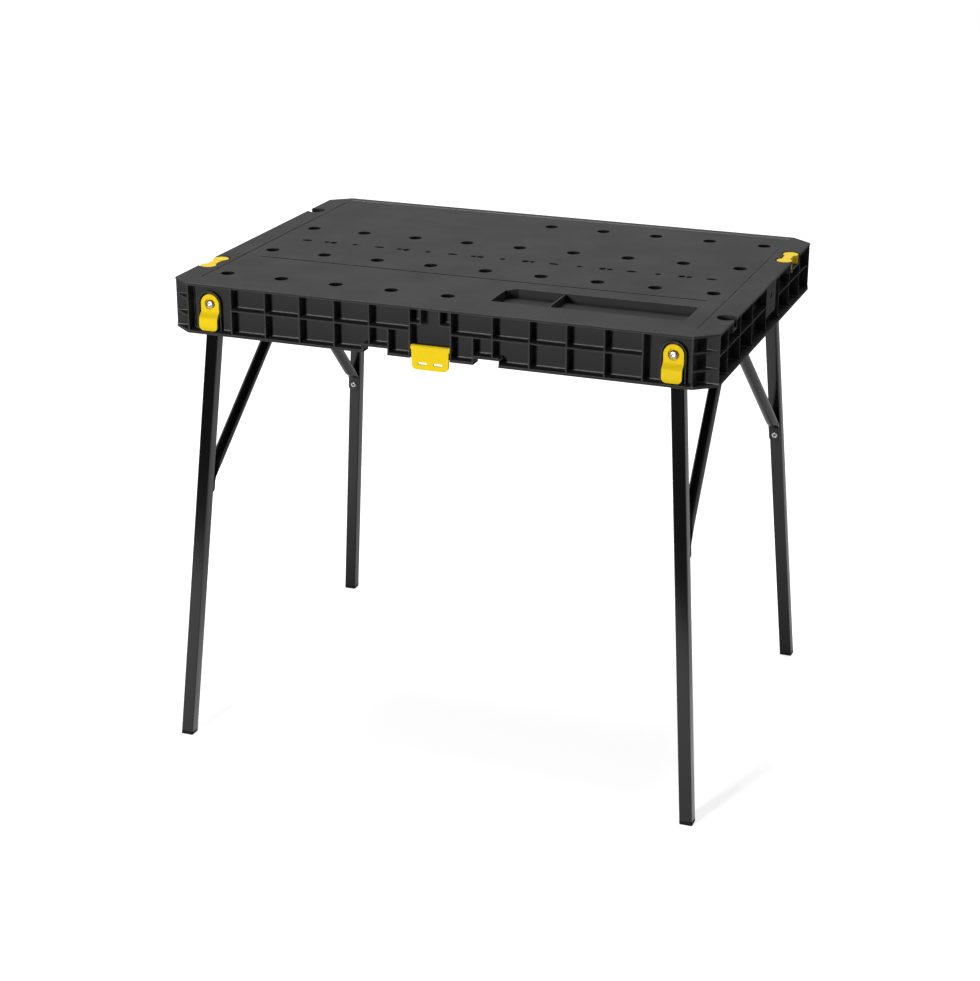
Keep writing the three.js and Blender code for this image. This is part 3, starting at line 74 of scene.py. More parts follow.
class End(Enum):
    """The two short sides of the bench, as the nodes name them."""

    LEFT = "left"
    RIGHT = "right"


class Action(Enum):
    """How one mesh changes another."""

    JOIN = "UNION"
    CUT = "DIFFERENCE"


class Group(Enum):
    """The shader node groups that several finishes share."""

    GRAIN = "moulded_grain"
    # Painted highlight on rounded edges.
    RUB = "edge_rub"


# Mesh helpers


def vector_mm(x: float, y: float, z: float) -> Vector:
    """A vector given in millimetres.

    Args:
        x: Along the long sides.
        y: Along the short sides, to the rear.
        z: Upwards.

    Returns:
        The same vector in metres.
    """
    return Vector((x, y, z)) * MM


def ease(share: float) -> float:
    """A soft start and end between 0 and 1."""
    held = min(max(share, 0.0), 1.0)
    return held * held * (3.0 - 2.0 * held)


def axis_matrix(origin: Vector, direction: Vector) -> Matrix:
    """A place whose Z axis lies along a direction.

    Args:
        origin: Where the place is.
        direction: Where its Z axis points.

    Returns:
        The matrix that takes a piece there.
    """
    turn = Vector((0.0, 0.0, 1.0)).rotation_difference(direction.normalized())
    return Matrix.Translation(origin) @ turn.to_matrix().to_4x4()


def node_copy(node: str, flat_angle: float = 0.6) -> bmesh.types.BMesh:
    """A welded copy of a node's mesh, with its flat triangles joined into whole faces.

    Args:
        node: The node's name.
        flat_angle: Faces that meet within this many degrees are joined.

    Returns:
        The copy, to be freed by whoever dresses it.
    """
    mesh = bmesh.new()
    mesh.from_mesh(frame["nodes"][node].data)
    mesh.faces.layers.float.new(ROUNDING)
    bmesh.ops.remove_doubles(mesh, verts=mesh.verts, dist=0.004 * MM)
    bmesh.ops.dissolve_limit(
        mesh, angle_limit=math.radians(flat_angle), verts=mesh.verts, edges=mesh.edges, delimit={"NORMAL"}
    )
    return mesh


def round_edges(mesh: bmesh.types.BMesh, width: float, segments: int = 2, angle: float = 34.0) -> None:
    """Rounds every edge that is sharper than an angle and isn't rounded yet.

    Args:
        mesh: The mesh to work on.
        width: Width of the rounding, in millimetres.
        segments: Faces across the rounding.
        angle: The least angle between an edge's faces, in degrees.
    """
    limit = math.radians(angle)
    mark = mesh.faces.layers.float[ROUNDING]
    sharp = [
        edge
        for edge in mesh.edges
        if edge.calc_face_angle(0.0) > limit and not any(face[mark] for face in edge.link_faces)
    ]
    # Rounded edges get a light painted highlight.
    bevel_edges(mesh, sharp, width, segments, 0.4, True)


def bevel_edges(
    mesh: bmesh.types.BMesh,
    edges: Sequence[bmesh.types.BMEdge],
    width: float,
    segments: int,
    painted_highlight: float,
    clamp: bool = False,
) -> None:
    """Rounds some edges, shades the roundings smoothly and marks them with a painted highlight.

    Args:
        mesh: The mesh to work on.
        edges: The edges to round.
        width: Width of the rounding, in millimetres.
        segments: Faces across the rounding.
        painted_highlight: How strongly the roundings carry the painted highlight, from 0 to 1.
        clamp: Whether the width shrinks where roundings would meet.
    """
    rounded = bmesh.ops.bevel(
        mesh,
        geom=edges,
        offset=width * MM,
        offset_type="OFFSET",
        affect="EDGES",
        segments=segments,
        profile=0.5,
        material=-1,
        clamp_overlap=clamp,
    )
    mark = mesh.faces.layers.float[ROUNDING]
    for face in rounded["faces"]:
        face.smooth = True
        face[mark] = painted_highlight


def shade_curves(mesh: bmesh.types.BMesh, limit: float) -> None:
    """Shades the faces of curved walls smoothly and leaves flat faces flat.

    Args:
        mesh: The mesh to work on.
        limit: The greatest angle between two faces of one curve, in radians.
    """
    for face in mesh.faces:
        face.smooth = any(0.02 < edge.calc_face_angle(0.0) < limit for edge in face.edges)


def spun(profile: Sequence[tuple[float, float]], steps: int = 48) -> bmesh.types.BMesh:
    """A closed turned piece.

    Args:
        profile: Pairs of radius and height in millimetres, from pole to pole or closed on itself.
        steps: Faces round the piece.

    Returns:
        The piece, standing on its own Z axis.
    """
    mesh = bmesh.new()
    verts = [mesh.verts.new((radius * MM, 0.0, height * MM)) for radius, height in profile]
    edges = [mesh.edges.new(pair) for pair in zip(verts, verts[1:])]
    bmesh.ops.spin(
        mesh,
        geom=verts + edges,
        cent=(0.0, 0.0, 0.0),
        axis=(0.0, 0.0, 1.0),
        angle=2.0 * math.pi,
        steps=steps,
        use_merge=True,
    )
    bmesh.ops.remove_doubles(mesh, verts=mesh.verts, dist=0.001 * MM)
    bmesh.ops.recalc_face_normals(mesh, faces=mesh.faces)
    shade_curves(mesh, math.pi)
    return mesh


def span_along(node: str, origin: Vector, direction: Vector) -> tuple[float, float]:
    """How far a node reaches along a line.

    Args:
        node: The node's name.
        origin: The point from which distances count.
        direction: Unit vector along the line.

    Returns:
        The least and the greatest distance, in millimetres.
    """
    reach = [(vert.co - origin).dot(direction) / MM for vert in frame["nodes"][node].data.vertices]
    return min(reach), max(reach)


def box_centre(node: str) -> Vector:
    """The middle of a node's box."""
    low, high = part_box(node)
    return (low + high) / 2.0


def add_piece(
    name: str,
    mesh: bmesh.types.BMesh,
    material: bpy.types.Material,
    body: str,
    nodes: Iterable[str] = (),
    smooth: float = 38.0,
) -> bpy.types.Object:
    """Makes an object of a mesh, gives it its finish and hangs it on its body.

    Args:
        name: The piece's name.
        mesh: Its shape in place; it is freed here.
        material: Its finish.
        body: The body that carries it.
        nodes: The nodes it stands for.
        smooth: Edges sharper than this many degrees stay sharp.

    Returns:
        The finished piece.
    """
    data = bpy.data.meshes.new(name)
    mesh.to_mesh(data)
    mesh.free()
    data.set_sharp_from_angle(angle=math.radians(smooth))
    data.materials.append(material)
    piece = bpy.data.objects.new(name, data)
    bpy.context.scene.collection.objects.link(piece)
    weighted = piece.modifiers.new("flat_faces", "WEIGHTED_NORMAL")
    weighted.keep_sharp = True
    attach(piece, body)
    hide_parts(*nodes)
    LOG.info("%s: %d faces on %s", name, len(data.polygons), body)
    return piece


# Finishes


class NodeTree:
    """A thin hand on a shader node tree: places nodes and joins their sockets."""

    def __init__(self, tree: bpy.types.NodeTree) -> None:
        """Takes the tree to work on."""
        self.tree = tree

    def add(self, kind: str, **settings: object) -> bpy.types.Node:
        """Places a node.

        Args:
            kind: The node's type name.
            **settings: Properties to set on it.

        Returns:
            The node.
        """
        node = self.tree.nodes.new(kind)
        for key, value in settings.items():
            setattr(node, key, value)
        return node

    def join(self, source: bpy.types.NodeSocket, target: bpy.types.NodeSocket) -> None:
        """Joins two sockets."""
        self.tree.links.new(source, target)

    def noise(self, vector: bpy.types.NodeSocket, scale: float, detail: float = 4.0) -> bpy.types.NodeSocket:
        """Places a noise texture.

        Args:
            vector: The coordinates it reads.
            scale: Waves in a metre.
            detail: Octaves.

        Returns:
            Its value.
        """
        node = self.add("ShaderNodeTexNoise")
        node.inputs["Scale"].default_value = scale
        node.inputs["Detail"].default_value = detail
        self.join(vector, node.inputs["Vector"])
        return node.outputs["Fac"]

    def math(self, operation: str, first: object, second: object) -> bpy.types.NodeSocket:
        """Places a sum, product or other sum of two values.

        Args:
            operation: The node's operation.
            first: A socket or a number.
            second: A socket or a number.

        Returns:
            The result.
        """
        node = self.add("ShaderNodeMath", operation=operation)
        for socket, value in zip(node.inputs, (first, second)):
            if isinstance(value, bpy.types.NodeSocket):
                self.join(value, socket)
            else:
                socket.default_value = value
        return node.outputs["Value"]

    def spread(
        self,
        value: bpy.types.NodeSocket,
        low: float,
        high: float,
        between: tuple[float, float] = (0.3, 0.7),
    ) -> bpy.types.NodeSocket:
        """Maps a value to a range.

        Args:
            value: The value.
            low: What the start of its span becomes.
            high: What the end of its span becomes.
            between: The span; noise mostly lies in the one given here.

        Returns:
            The mapped value.
        """
        node = self.add("ShaderNodeMapRange")
        node.inputs["From Min"].default_value = between[0]
        node.inputs["From Max"].default_value = between[1]
        node.inputs["To Min"].default_value = low
        node.inputs["To Max"].default_value = high
        self.join(value, node.inputs["Value"])
        return node.outputs["Result"]


def grain_group() -> bpy.types.ShaderNodeTree:
    """The grain of a moulded or painted surface.

    Returns:
        A group that reads a vector and gives a height and a slow mottle.
    """
    group = bpy.data.node_groups.new(Group.GRAIN.value, "ShaderNodeTree")
    group.interface.new_socket("Vector", in_out="INPUT", socket_type="NodeSocketVector")
    scale = group.interface.new_socket("Scale", in_out="INPUT", socket_type="NodeSocketFloat")
    scale.default_value = 1.0
    group.interface.new_socket("Height", in_out="OUTPUT", socket_type="NodeSocketFloat")
    group.interface.new_socket("Mottle", in_out="OUTPUT", socket_type="NodeSocketFloat")
    hand = NodeTree(group)
    inputs = hand.add("NodeGroupInput")
    outputs = hand.add("NodeGroupOutput")
    scaled = hand.add("ShaderNodeVectorMath", operation="SCALE")
    hand.join(inputs.outputs["Vector"], scaled.inputs[0])
    hand.join(inputs.outputs["Scale"], scaled.inputs["Scale"])
    pores = hand.add("ShaderNodeTexVoronoi", feature="SMOOTH_F1")
    pores.inputs["Scale"].default_value = 900.0
    hand.join(scaled.outputs[0], pores.inputs["Vector"])
    fine = hand.noise(scaled.outputs[0], 1400.0, 3.0)
    height = hand.math("MULTIPLY_ADD", pores.outputs["Distance"], 0.6)
    hand.join(fine, height.node.inputs[2])
    hand.join(height, outputs.inputs["Height"])
    hand.join(hand.noise(scaled.outputs[0], 14.0, 5.0), outputs.inputs["Mottle"])
    return group


def painted_highlight_group() -> bpy.types.ShaderNodeTree:
    """Where rounded edges carry a painted highlight, lighter in random patches.

    Returns:
        A group that reads a vector and gives a mask of 0 to 1 on rounded edges.
    """
    group = bpy.data.node_groups.new(Group.RUB.value, "ShaderNodeTree")
    group.interface.new_socket("Vector", in_out="INPUT", socket_type="NodeSocketVector")
    group.interface.new_socket("Mask", in_out="OUTPUT", socket_type="NodeSocketFloat")
    hand = NodeTree(group)
    inputs = hand.add("NodeGroupInput")
    outputs = hand.add("NodeGroupOutput")
    edge = hand.add("ShaderNodeAttribute", attribute_name=ROUNDING)
    patches = hand.spread(hand.noise(inputs.outputs["Vector"], 45.0, 6.0), 0.6, 1.0)
    hand.join(hand.math("MULTIPLY", edge.outputs["Fac"], patches), outputs.inputs["Mask"])
    return group


@dataclass(frozen=True)
class Finish:
    """A surface: its colours, gloss, grain and the painted highlight on its rounded edges."""

    slot: str
    dark: tuple[float, float, float]
    light: tuple[float, float, float]
    # Colour of the painted highlight on rounded edges.
    painted_highlight_colour: tuple[float, float, float]
    gloss: tuple[float, float]
    metallic: float = 0.0
    grain_scale: float = 1.0
    grain_depth: float = 0.12
    coat: float = 0.0
    specular: float = 0.5
    name: str = ""

    def material(self) -> bpy.types.Material:
        """Builds the finish as a node material.

        Returns:
            The material, marked with its slot.
        """
        made = bpy.data.materials.new(f"finish_{self.name or self.slot}")
        made.use_nodes = True
        made["slot"] = self.slot
        hand = NodeTree(made.node_tree)
        shader = made.node_tree.nodes["Principled BSDF"]
        place = hand.add("ShaderNodeTexCoord").outputs["Object"]
        grain = hand.add("ShaderNodeGroup", node_tree=bpy.data.node_groups[Group.GRAIN.value])
        grain.inputs["Scale"].default_value = self.grain_scale
        hand.join(place, grain.inputs["Vector"])
        painted_highlight = hand.add("ShaderNodeGroup", node_tree=bpy.data.node_groups[Group.RUB.value])
        hand.join(place, painted_highlight.inputs["Vector"])
        body = self.blend(hand, hand.spread(grain.outputs["Mottle"], 0.0, 1.0), self.dark, self.light)
        # Mixes in the painted highlight colour where the roundings are marked.
        highlighted = hand.add("ShaderNodeMix", data_type="RGBA")
        sockets = [socket for socket in highlighted.inputs if socket.type == "RGBA"]
        hand.join(body, sockets[0])
        sockets[1].default_value = (*self.painted_highlight_colour, 1.0)
        hand.join(painted_highlight.outputs["Mask"], highlighted.inputs["Factor"])
        colour = next(socket for socket in highlighted.outputs if socket.type == "RGBA")
        hand.join(colour, shader.inputs["Base Color"])
        hand.join(hand.spread(grain.outputs["Mottle"], *self.gloss), shader.inputs["Roughness"])
        bump = hand.add("ShaderNodeBump")
        bump.inputs["Strength"].default_value = self.grain_depth
        bump.inputs["Distance"].default_value = 0.25 * MM
        hand.join(grain.outputs["Height"], bump.inputs["Height"])
        hand.join(bump.outputs["Normal"], shader.inputs["Normal"])
        shader.inputs["Metallic"].default_value = self.metallic
        shader.inputs["Coat Weight"].default_value = self.coat
        shader.inputs["Specular IOR Level"].default_value = self.specular
        return made

    @staticmethod
    def blend(
        hand: NodeTree,
        factor: bpy.types.NodeSocket,
        first: tuple[float, float, float],
        second: tuple[float, float, float],
    ) -> bpy.types.NodeSocket:
        """Mixes two colours.

        Args:
            hand: The tree to work in.
            factor: The share of the second colour.
            first: Colour at 0.
            second: Colour at 1.

        Returns:
            The mixed colour.
        """
        mix = hand.add("ShaderNodeMix", data_type="RGBA")
        colours = [socket for socket in mix.inputs if socket.type == "RGBA"]
        colours[0].default_value = (*first, 1.0)
        colours[1].default_value = (*second, 1.0)
        hand.join(factor, mix.inputs["Factor"])
        return next(socket for socket in mix.outputs if socket.type == "RGBA")


# The colour on the rounded edges of each finish below is a painted highlight, lighter than the body.
RESIN = Finish(
    slot="resin",
    dark=(0.0303, 0.0305, 0.0308),
    light=(0.0347, 0.0349, 0.0352),
    painted_highlight_colour=(0.21, 0.21, 0.211),
    gloss=(0.58, 0.7),
    grain_depth=0.16,
    specular=0.1,
)
PAINT = Finish(
    slot="painted_steel",
    dark=(0.0012, 0.0012, 0.0013),
    light=(0.002, 0.002, 0.0021),
    painted_highlight_colour=(0.02, 0.02, 0.021),
    gloss=(0.15, 0.19),
    grain_scale=0.35,
    grain_depth=0.02,
    specular=0.4,
)
ZINC = Finish(
    slot="bright_steel",
    dark=(0.4, 0.4, 0.41),
    light=(0.5, 0.5, 0.51),
    painted_highlight_colour=(0.6, 0.6, 0.61),
    gloss=(0.3, 0.4),
    metallic=1.0,
    grain_scale=0.6,
    grain_depth=0.05,
)
YELLOW = Finish(
    slot="yellow",
    dark=(0.90, 0.63, 0.010),
    light=(0.95, 0.69, 0.014),
    painted_highlight_colour=(0.97, 0.76, 0.05),
    gloss=(0.36, 0.44),
    grain_scale=0.8,
    grain_depth=0.05,
    specular=0.06,
)
# Painted shade: near-black resin on the walls of the bores and the long groove, standing in for the shadow inside
# them.
BORE_SHADE = Finish(
    slot="resin",
    dark=(0.006, 0.006, 0.0061),
    light=(0.008, 0.008, 0.0081),
    painted_highlight_colour=(0.012, 0.012, 0.012),
    gloss=(0.7, 0.8),
    specular=0.05,
    name="bore_shade",
)
RUBBER = Finish(
    slot="rubber",
    dark=(0.004, 0.004, 0.004),
    light=(0.007, 0.007, 0.007),
    painted_highlight_colour=(0.02, 0.02, 0.02),
    gloss=(0.7, 0.82),
    grain_depth=0.2,
    specular=0.2,
)


class Palette:
    """The finishes as materials, made once."""

    def __init__(self) -> None:
        """Builds the shared groups and every material."""
        grain_group()
        painted_highlight_group()
        self.resin = RESIN.material()
        self.bore_shade = BORE_SHADE.material()
        self.paint = PAINT.material()
        self.zinc = ZINC.material()
        self.yellow = YELLOW.material()
        self.rubber = RUBBER.material()

    def by_slot(self, slot: str) -> bpy.types.Material:
        """The material of a slot of the record."""
        made = (self.resin, self.paint, self.zinc, self.yellow, self.rubber)
        return next(material for material in made if material["slot"] == slot)


# The bench


@dataclass
class CornerLines:
    """The lines along which the pieces of a corner lie."""

    corner: Corner

    def __post_init__(self) -> None:
        """Reads the hinge, the foot and the brace's ends from the frame."""
        name = self.corner.value
        joint = next(item for item in frame["joints"] if item["name"] == f"fold_{name}")
        mount = next(item for item in frame["record"]["mounts"] if item["name"] == f"foot_{name}")
        self.pivot = Vector(joint["pos_m"])
        hinge = Vector(joint["axis"]).normalized()
        self.outward = hinge if hinge.y * self.pivot.y > 0.0 else -hinge
        self.foot = Vector(mount["pos_m"])
        self.up = (self.pivot - self.foot).normalized()
        self.across = (Vector((1.0, 0.0, 0.0)) - self.up * self.up.x).normalized()
        facing = self.up.cross(self.across)
        self.inward = facing if facing.y * self.pivot.y < 0.0 else -facing
        self.pin = self.on_hinge(box_centre(f"brace_pin_{name}"))

    def on_hinge(self, point: Vector) -> Vector:
        """The point of the hinge line next to a point."""
        return self.pivot + self.outward * (point - self.pivot).dot(self.outward)


@dataclass
class Deck:
    """The moulded worktop."""

    hole_pitch: float = 90.0
    row_pitch: float = 156.0
    hole_radius: float = 10.4
    hole_depth: float = 10.0
    edge_rounding: float = 0.5
    fillet: float = 1.4
    shortest_fillet: float = 12.0
    cell_depth: float = 18.5
    corner_cut: tuple[float, float] = (32.0, 26.0)
    curve_limit: float = 24.0
    hole_columns: int = 4
    tool_row: float = 7.0
    tool_pitch: float = 126.0
    tool_pair: tuple[float, float] = (37.5, 49.0)
    tool_slot: float = 84.0
    tool_groups: int = 3
    tool_limit: float = 365.0
    tool_radii: tuple[float, float] = (4.5, 5.7)
    tool_stretch: float = 1.85
    tool_depth: float = 4.4
    groove_y: float = -121.0
    groove_half: float = 3.5
    groove_lip: float = 1.6
    seat_radius: float = 14.15
    seat_inset: float = 13.5
    seat_y: float = 198.5
    seat_spacing: float = 43.0
    seat_depth: float = 14.7
    cheek_x: tuple[float, float] = (106.0, 108.2)
    cheek_drop: tuple[float, float] = (67.0, 77.0)

    def hole_places(self) -> list[tuple[float, float]]:
        """The middles of the bench dog holes.

        Returns:
            Pairs of X and Y in millimetres.
        """
        last = self.hole_columns
        rows = ((-1.5, -last, 0), (-0.5, -last, last), (0.5, -last, last), (1.5, 0, last))
        return [
            (column * self.hole_pitch, row * self.row_pitch)
            for row, start, stop in rows
            for column in range(start, stop + 1)
        ]

    def seat_places(self) -> list[tuple[float, float]]:
        """The middles of the round seats of the link pockets.

        Returns:
            Pairs of X and Y in millimetres, three at each short side.
        """
        x = self.high.x / MM - self.seat_inset
        right = [(x, self.seat_y), (x, self.seat_y - self.seat_spacing), (x, -self.seat_y)]
        return right + [(-x, -y) for x, y in right]

    def tool_places(self) -> list[tuple[float, float, float]]:
        """The small tool holes along the middle line: single holes, pairs and short slots in turn.

        Returns:
            The X of each, its radius in millimetres, and how far it is stretched along X.
        """
        small, large = self.tool_radii
        row = (
            (self.tool_pair[0], large, 1.0),
            (self.tool_pair[1], small, 1.0),
            (self.tool_slot, small, self.tool_stretch),
            (self.tool_pitch, small, 1.0),
        )
        right = [
            (group * self.tool_pitch + x, radius, stretch)
            for group in range(self.tool_groups)
            for x, radius, stretch in row
            if group * self.tool_pitch + x < self.tool_limit
        ]
        return [(0.0, small, 1.0)] + right + [(-x, radius, stretch) for x, radius, stretch in right]

    def round_cutters(self) -> bmesh.types.BMesh:
        """Round cutters for the dog holes, the seats of the pockets and the tool holes.

        Returns:
            One mesh with a cutter at each of them.
        """
        cutters = bmesh.new()
        rounds = [(place, self.hole_radius, self.hole_depth, 1.0) for place in self.hole_places()]
        rounds += [(place, self.seat_radius, self.seat_depth, 1.0) for place in self.seat_places()]
        rounds += [((x, 0.0), radius, self.tool_depth, stretch) for x, radius, stretch in self.tool_places()]
        for (x, y), radius, depth, stretch in rounds:
            tool = self.flared_cutter(radius, depth)
            bmesh.ops.scale(tool, vec=(stretch, 1.0, 1.0), verts=tool.verts)
            bmesh.ops.translate(tool, vec=vector_mm(x, y, self.high.z / MM), verts=tool.verts)
            data = bpy.data.meshes.new("tool")
            tool.to_mesh(data)
            tool.free()
            cutters.from_mesh(data)
            bpy.data.meshes.remove(data)
        return cutters

    def flared_cutter(self, radius: float, depth: float) -> bmesh.types.BMesh:
        """A cutter that leaves a hole with a rounded rim.

        Args:
            radius: The hole's radius, in millimetres.
            depth: How far it reaches down from the top, in millimetres.

        Returns:
            The cutter, with the top of the deck at its origin.
        """
        rim = self.edge_rounding
        above = 4.0
        turns = [math.radians(18.0 * step) for step in range(6)]
        flare = [(radius + rim * (1.0 - math.cos(turn)), rim * (math.sin(turn) - 1.0)) for turn in turns]
        wide = flare[-1][0]
        return spun([(0.0, -depth), (radius, -depth), *flare, (wide, above), (0.0, above)], 40)

    def notch_cheeks(self) -> bmesh.types.BMesh:
        """The small walls that close the outer ends of the two notches beside the hasp.

        Returns:
            Both walls, sunk a little into what they close.
        """
        cheeks = bmesh.new()
        cheeks.faces.layers.float.new(ROUNDING)
        front = -self.high.y / MM
        for side in (-1.0, 1.0):
            across = sorted(side * x for x in self.cheek_x)
            ends = (across, (front + 0.8, front + self.cell_depth + 1.0), [self.high.z / MM - z for z in self.cheek_drop])
            size = vector_mm(*(abs(high - low) for low, high in ends))
            middle = vector_mm(*((low + high) / 2.0 for low, high in ends))
            bmesh.ops.create_cube(cheeks, size=1.0, matrix=Matrix.LocRotScale(middle, None, size))
        return cheeks

    def __post_init__(self) -> None:
        """Reads the worktop's highest corner and finds the line of its cut corners."""
        self.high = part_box("worktop")[1].copy()
        cut_x, cut_y = (size * MM for size in self.corner_cut)
        self.cut_normal = Vector((cut_y, cut_x)).normalized()
        self.cut_reach = self.cut_normal.dot(Vector((self.high.x - cut_x, self.high.y)))

    def on_outside(self, edge: bmesh.types.BMEdge) -> bool:
        """Whether an edge lies on the skirt, outside the wall behind its cells."""
        depth = (self.cell_depth + 0.05) * MM
        for vert in edge.verts:
            place = Vector((abs(vert.co.x), abs(vert.co.y)))
            beyond = self.cut_normal.dot(place) - self.cut_reach
            if max(place.x - self.high.x, place.y - self.high.y, beyond) < -depth:
                return False
        return True

    def cell_floors(self, mesh: bmesh.types.BMesh) -> list[bmesh.types.BMEdge]:
        """The inner edges where the floors of the skirt's cells meet its wall.

        Args:
            mesh: The worktop.

        Returns:
            Its long concave edges on the outside with a face that looks up.
        """
        return [
            edge
            for edge in mesh.edges
            if not edge.is_convex
            and edge.calc_length() > self.shortest_fillet * MM
            and 1.4 < edge.calc_face_angle(0.0) < 1.75
            and any(face.normal.z > 0.9 for face in edge.link_faces)
            and self.on_outside(edge)
        ]

    def outer_edges(self, mesh: bmesh.types.BMesh) -> list[bmesh.types.BMEdge]:
        """The outward edges that show: on the skirt and round the openings of the top.

        Args:
            mesh: The worktop.

        Returns:
            Its convex edges there that are long enough to round.
        """
        mark = mesh.faces.layers.float[ROUNDING]
        limit = math.radians(self.curve_limit)
        return [
            edge
            for edge in mesh.edges
            if edge.is_convex
            and edge.calc_length() > 2.0 * self.edge_rounding * MM
            and edge.calc_face_angle(0.0) > limit
            and not any(face[mark] for face in edge.link_faces)
            and (self.on_outside(edge) or min(vert.co.z for vert in edge.verts) > self.high.z - 0.7 * MM)
        ]

    def in_bore(self, face: bmesh.types.BMFace) -> bool:
        """Whether a face is a wall of the long groove, of a dog hole or of a small tool hole."""
        place = face.calc_center_median()
        if abs(place.y - self.groove_y * MM) < self.groove_lip * MM and 0.2 < face.normal.z < 0.9:
            return place.z > self.high.z - 4.5 * MM
        if abs(face.normal.z) > 0.4 or place.z > self.high.z - 0.7 * MM:
            return False
        if abs(place.y) < self.tool_row * MM and place.z > self.high.z - 4.5 * MM:
            return True
        return any(
            math.hypot(place.x - x * MM, place.y - y * MM) < (self.hole_radius + 0.1) * MM
            for x, y in self.hole_places()
        )

    def narrow_groove(self, mesh: bmesh.types.BMesh) -> None:
        """Draws the lips of the long groove together, so that it reads as a line."""
        for side in (-1.0, 1.0):
            lip = (self.groove_y + side * self.groove_half) * MM
            verts = [
                vert
                for vert in mesh.verts
                if abs(vert.co.y - lip) < 0.1 * MM and vert.co.z > self.high.z - 0.1 * MM
            ]
            shift = side * (self.groove_lip - self.groove_half) * MM
            bmesh.ops.translate(mesh, vec=(0.0, shift, 0.0), verts=verts)

    def build(self, palette: Palette) -> None:
        """Makes the worktop: the node's shape with round holes, fillets and rounded edges, with painted highlights
        on the roundings and painted shade in the bores.
        """
        shape = combine(node_copy("worktop"), self.notch_cheeks(), Action.JOIN)
        cut = combine(shape, self.round_cutters(), Action.CUT)
        bmesh.ops.remove_doubles(cut, verts=cut.verts, dist=0.15 * MM)
        bmesh.ops.dissolve_limit(
            cut, angle_limit=math.radians(0.6), verts=cut.verts, edges=cut.edges, delimit={"NORMAL"}
        )
        self.narrow_groove(cut)
        shade_curves(cut, math.radians(self.curve_limit))
        # The fillets at the cell floors carry the full painted highlight, the outer roundings a lighter one.
        bevel_edges(cut, self.cell_floors(cut), self.fillet, 3, 1.0)
        bevel_edges(cut, self.outer_edges(cut), self.edge_rounding, 2, 0.4)
        for face in cut.faces:
            # The walls of the bores and of the groove take the painted shade.
            face.material_index = 1 if self.in_bore(face) else 0
            face.smooth = face.smooth and abs(face.normal.z) < 0.999
        deck = add_piece("deck_moulding", cut, palette.resin, "deck", ["worktop"], self.curve_limit)
        deck.data.materials.append(palette.bore_shade)


def combine(shape: bmesh.types.BMesh, other: bmesh.types.BMesh, action: Action) -> bmesh.types.BMesh:
    """Joins a mesh to another or cuts it out.

    Args:
        shape: The mesh to change; it is freed here.
        other: What is joined to it or cut out of it; it is freed here.
        action: Which of the two.

    Returns:
        The changed mesh.
    """
    made = []
    for name, source in (("shape", shape), ("other", other)):
        data = bpy.data.meshes.new(name)
        source.to_mesh(data)
        source.free()
        item = bpy.data.objects.new(name, data)
        bpy.context.scene.collection.objects.link(item)
        made.append(item)
    cut = made[0].modifiers.new("cut", "BOOLEAN")
    cut.operation = action.value
    cut.solver = "EXACT"
    cut.object = made[1]
    graph = bpy.context.evaluated_depsgraph_get()
    result = bmesh.new()
    result.from_object(made[0], graph)
    for item in made:
        data = item.data
        bpy.data.objects.remove(item)
        bpy.data.meshes.remove(data)
    return result


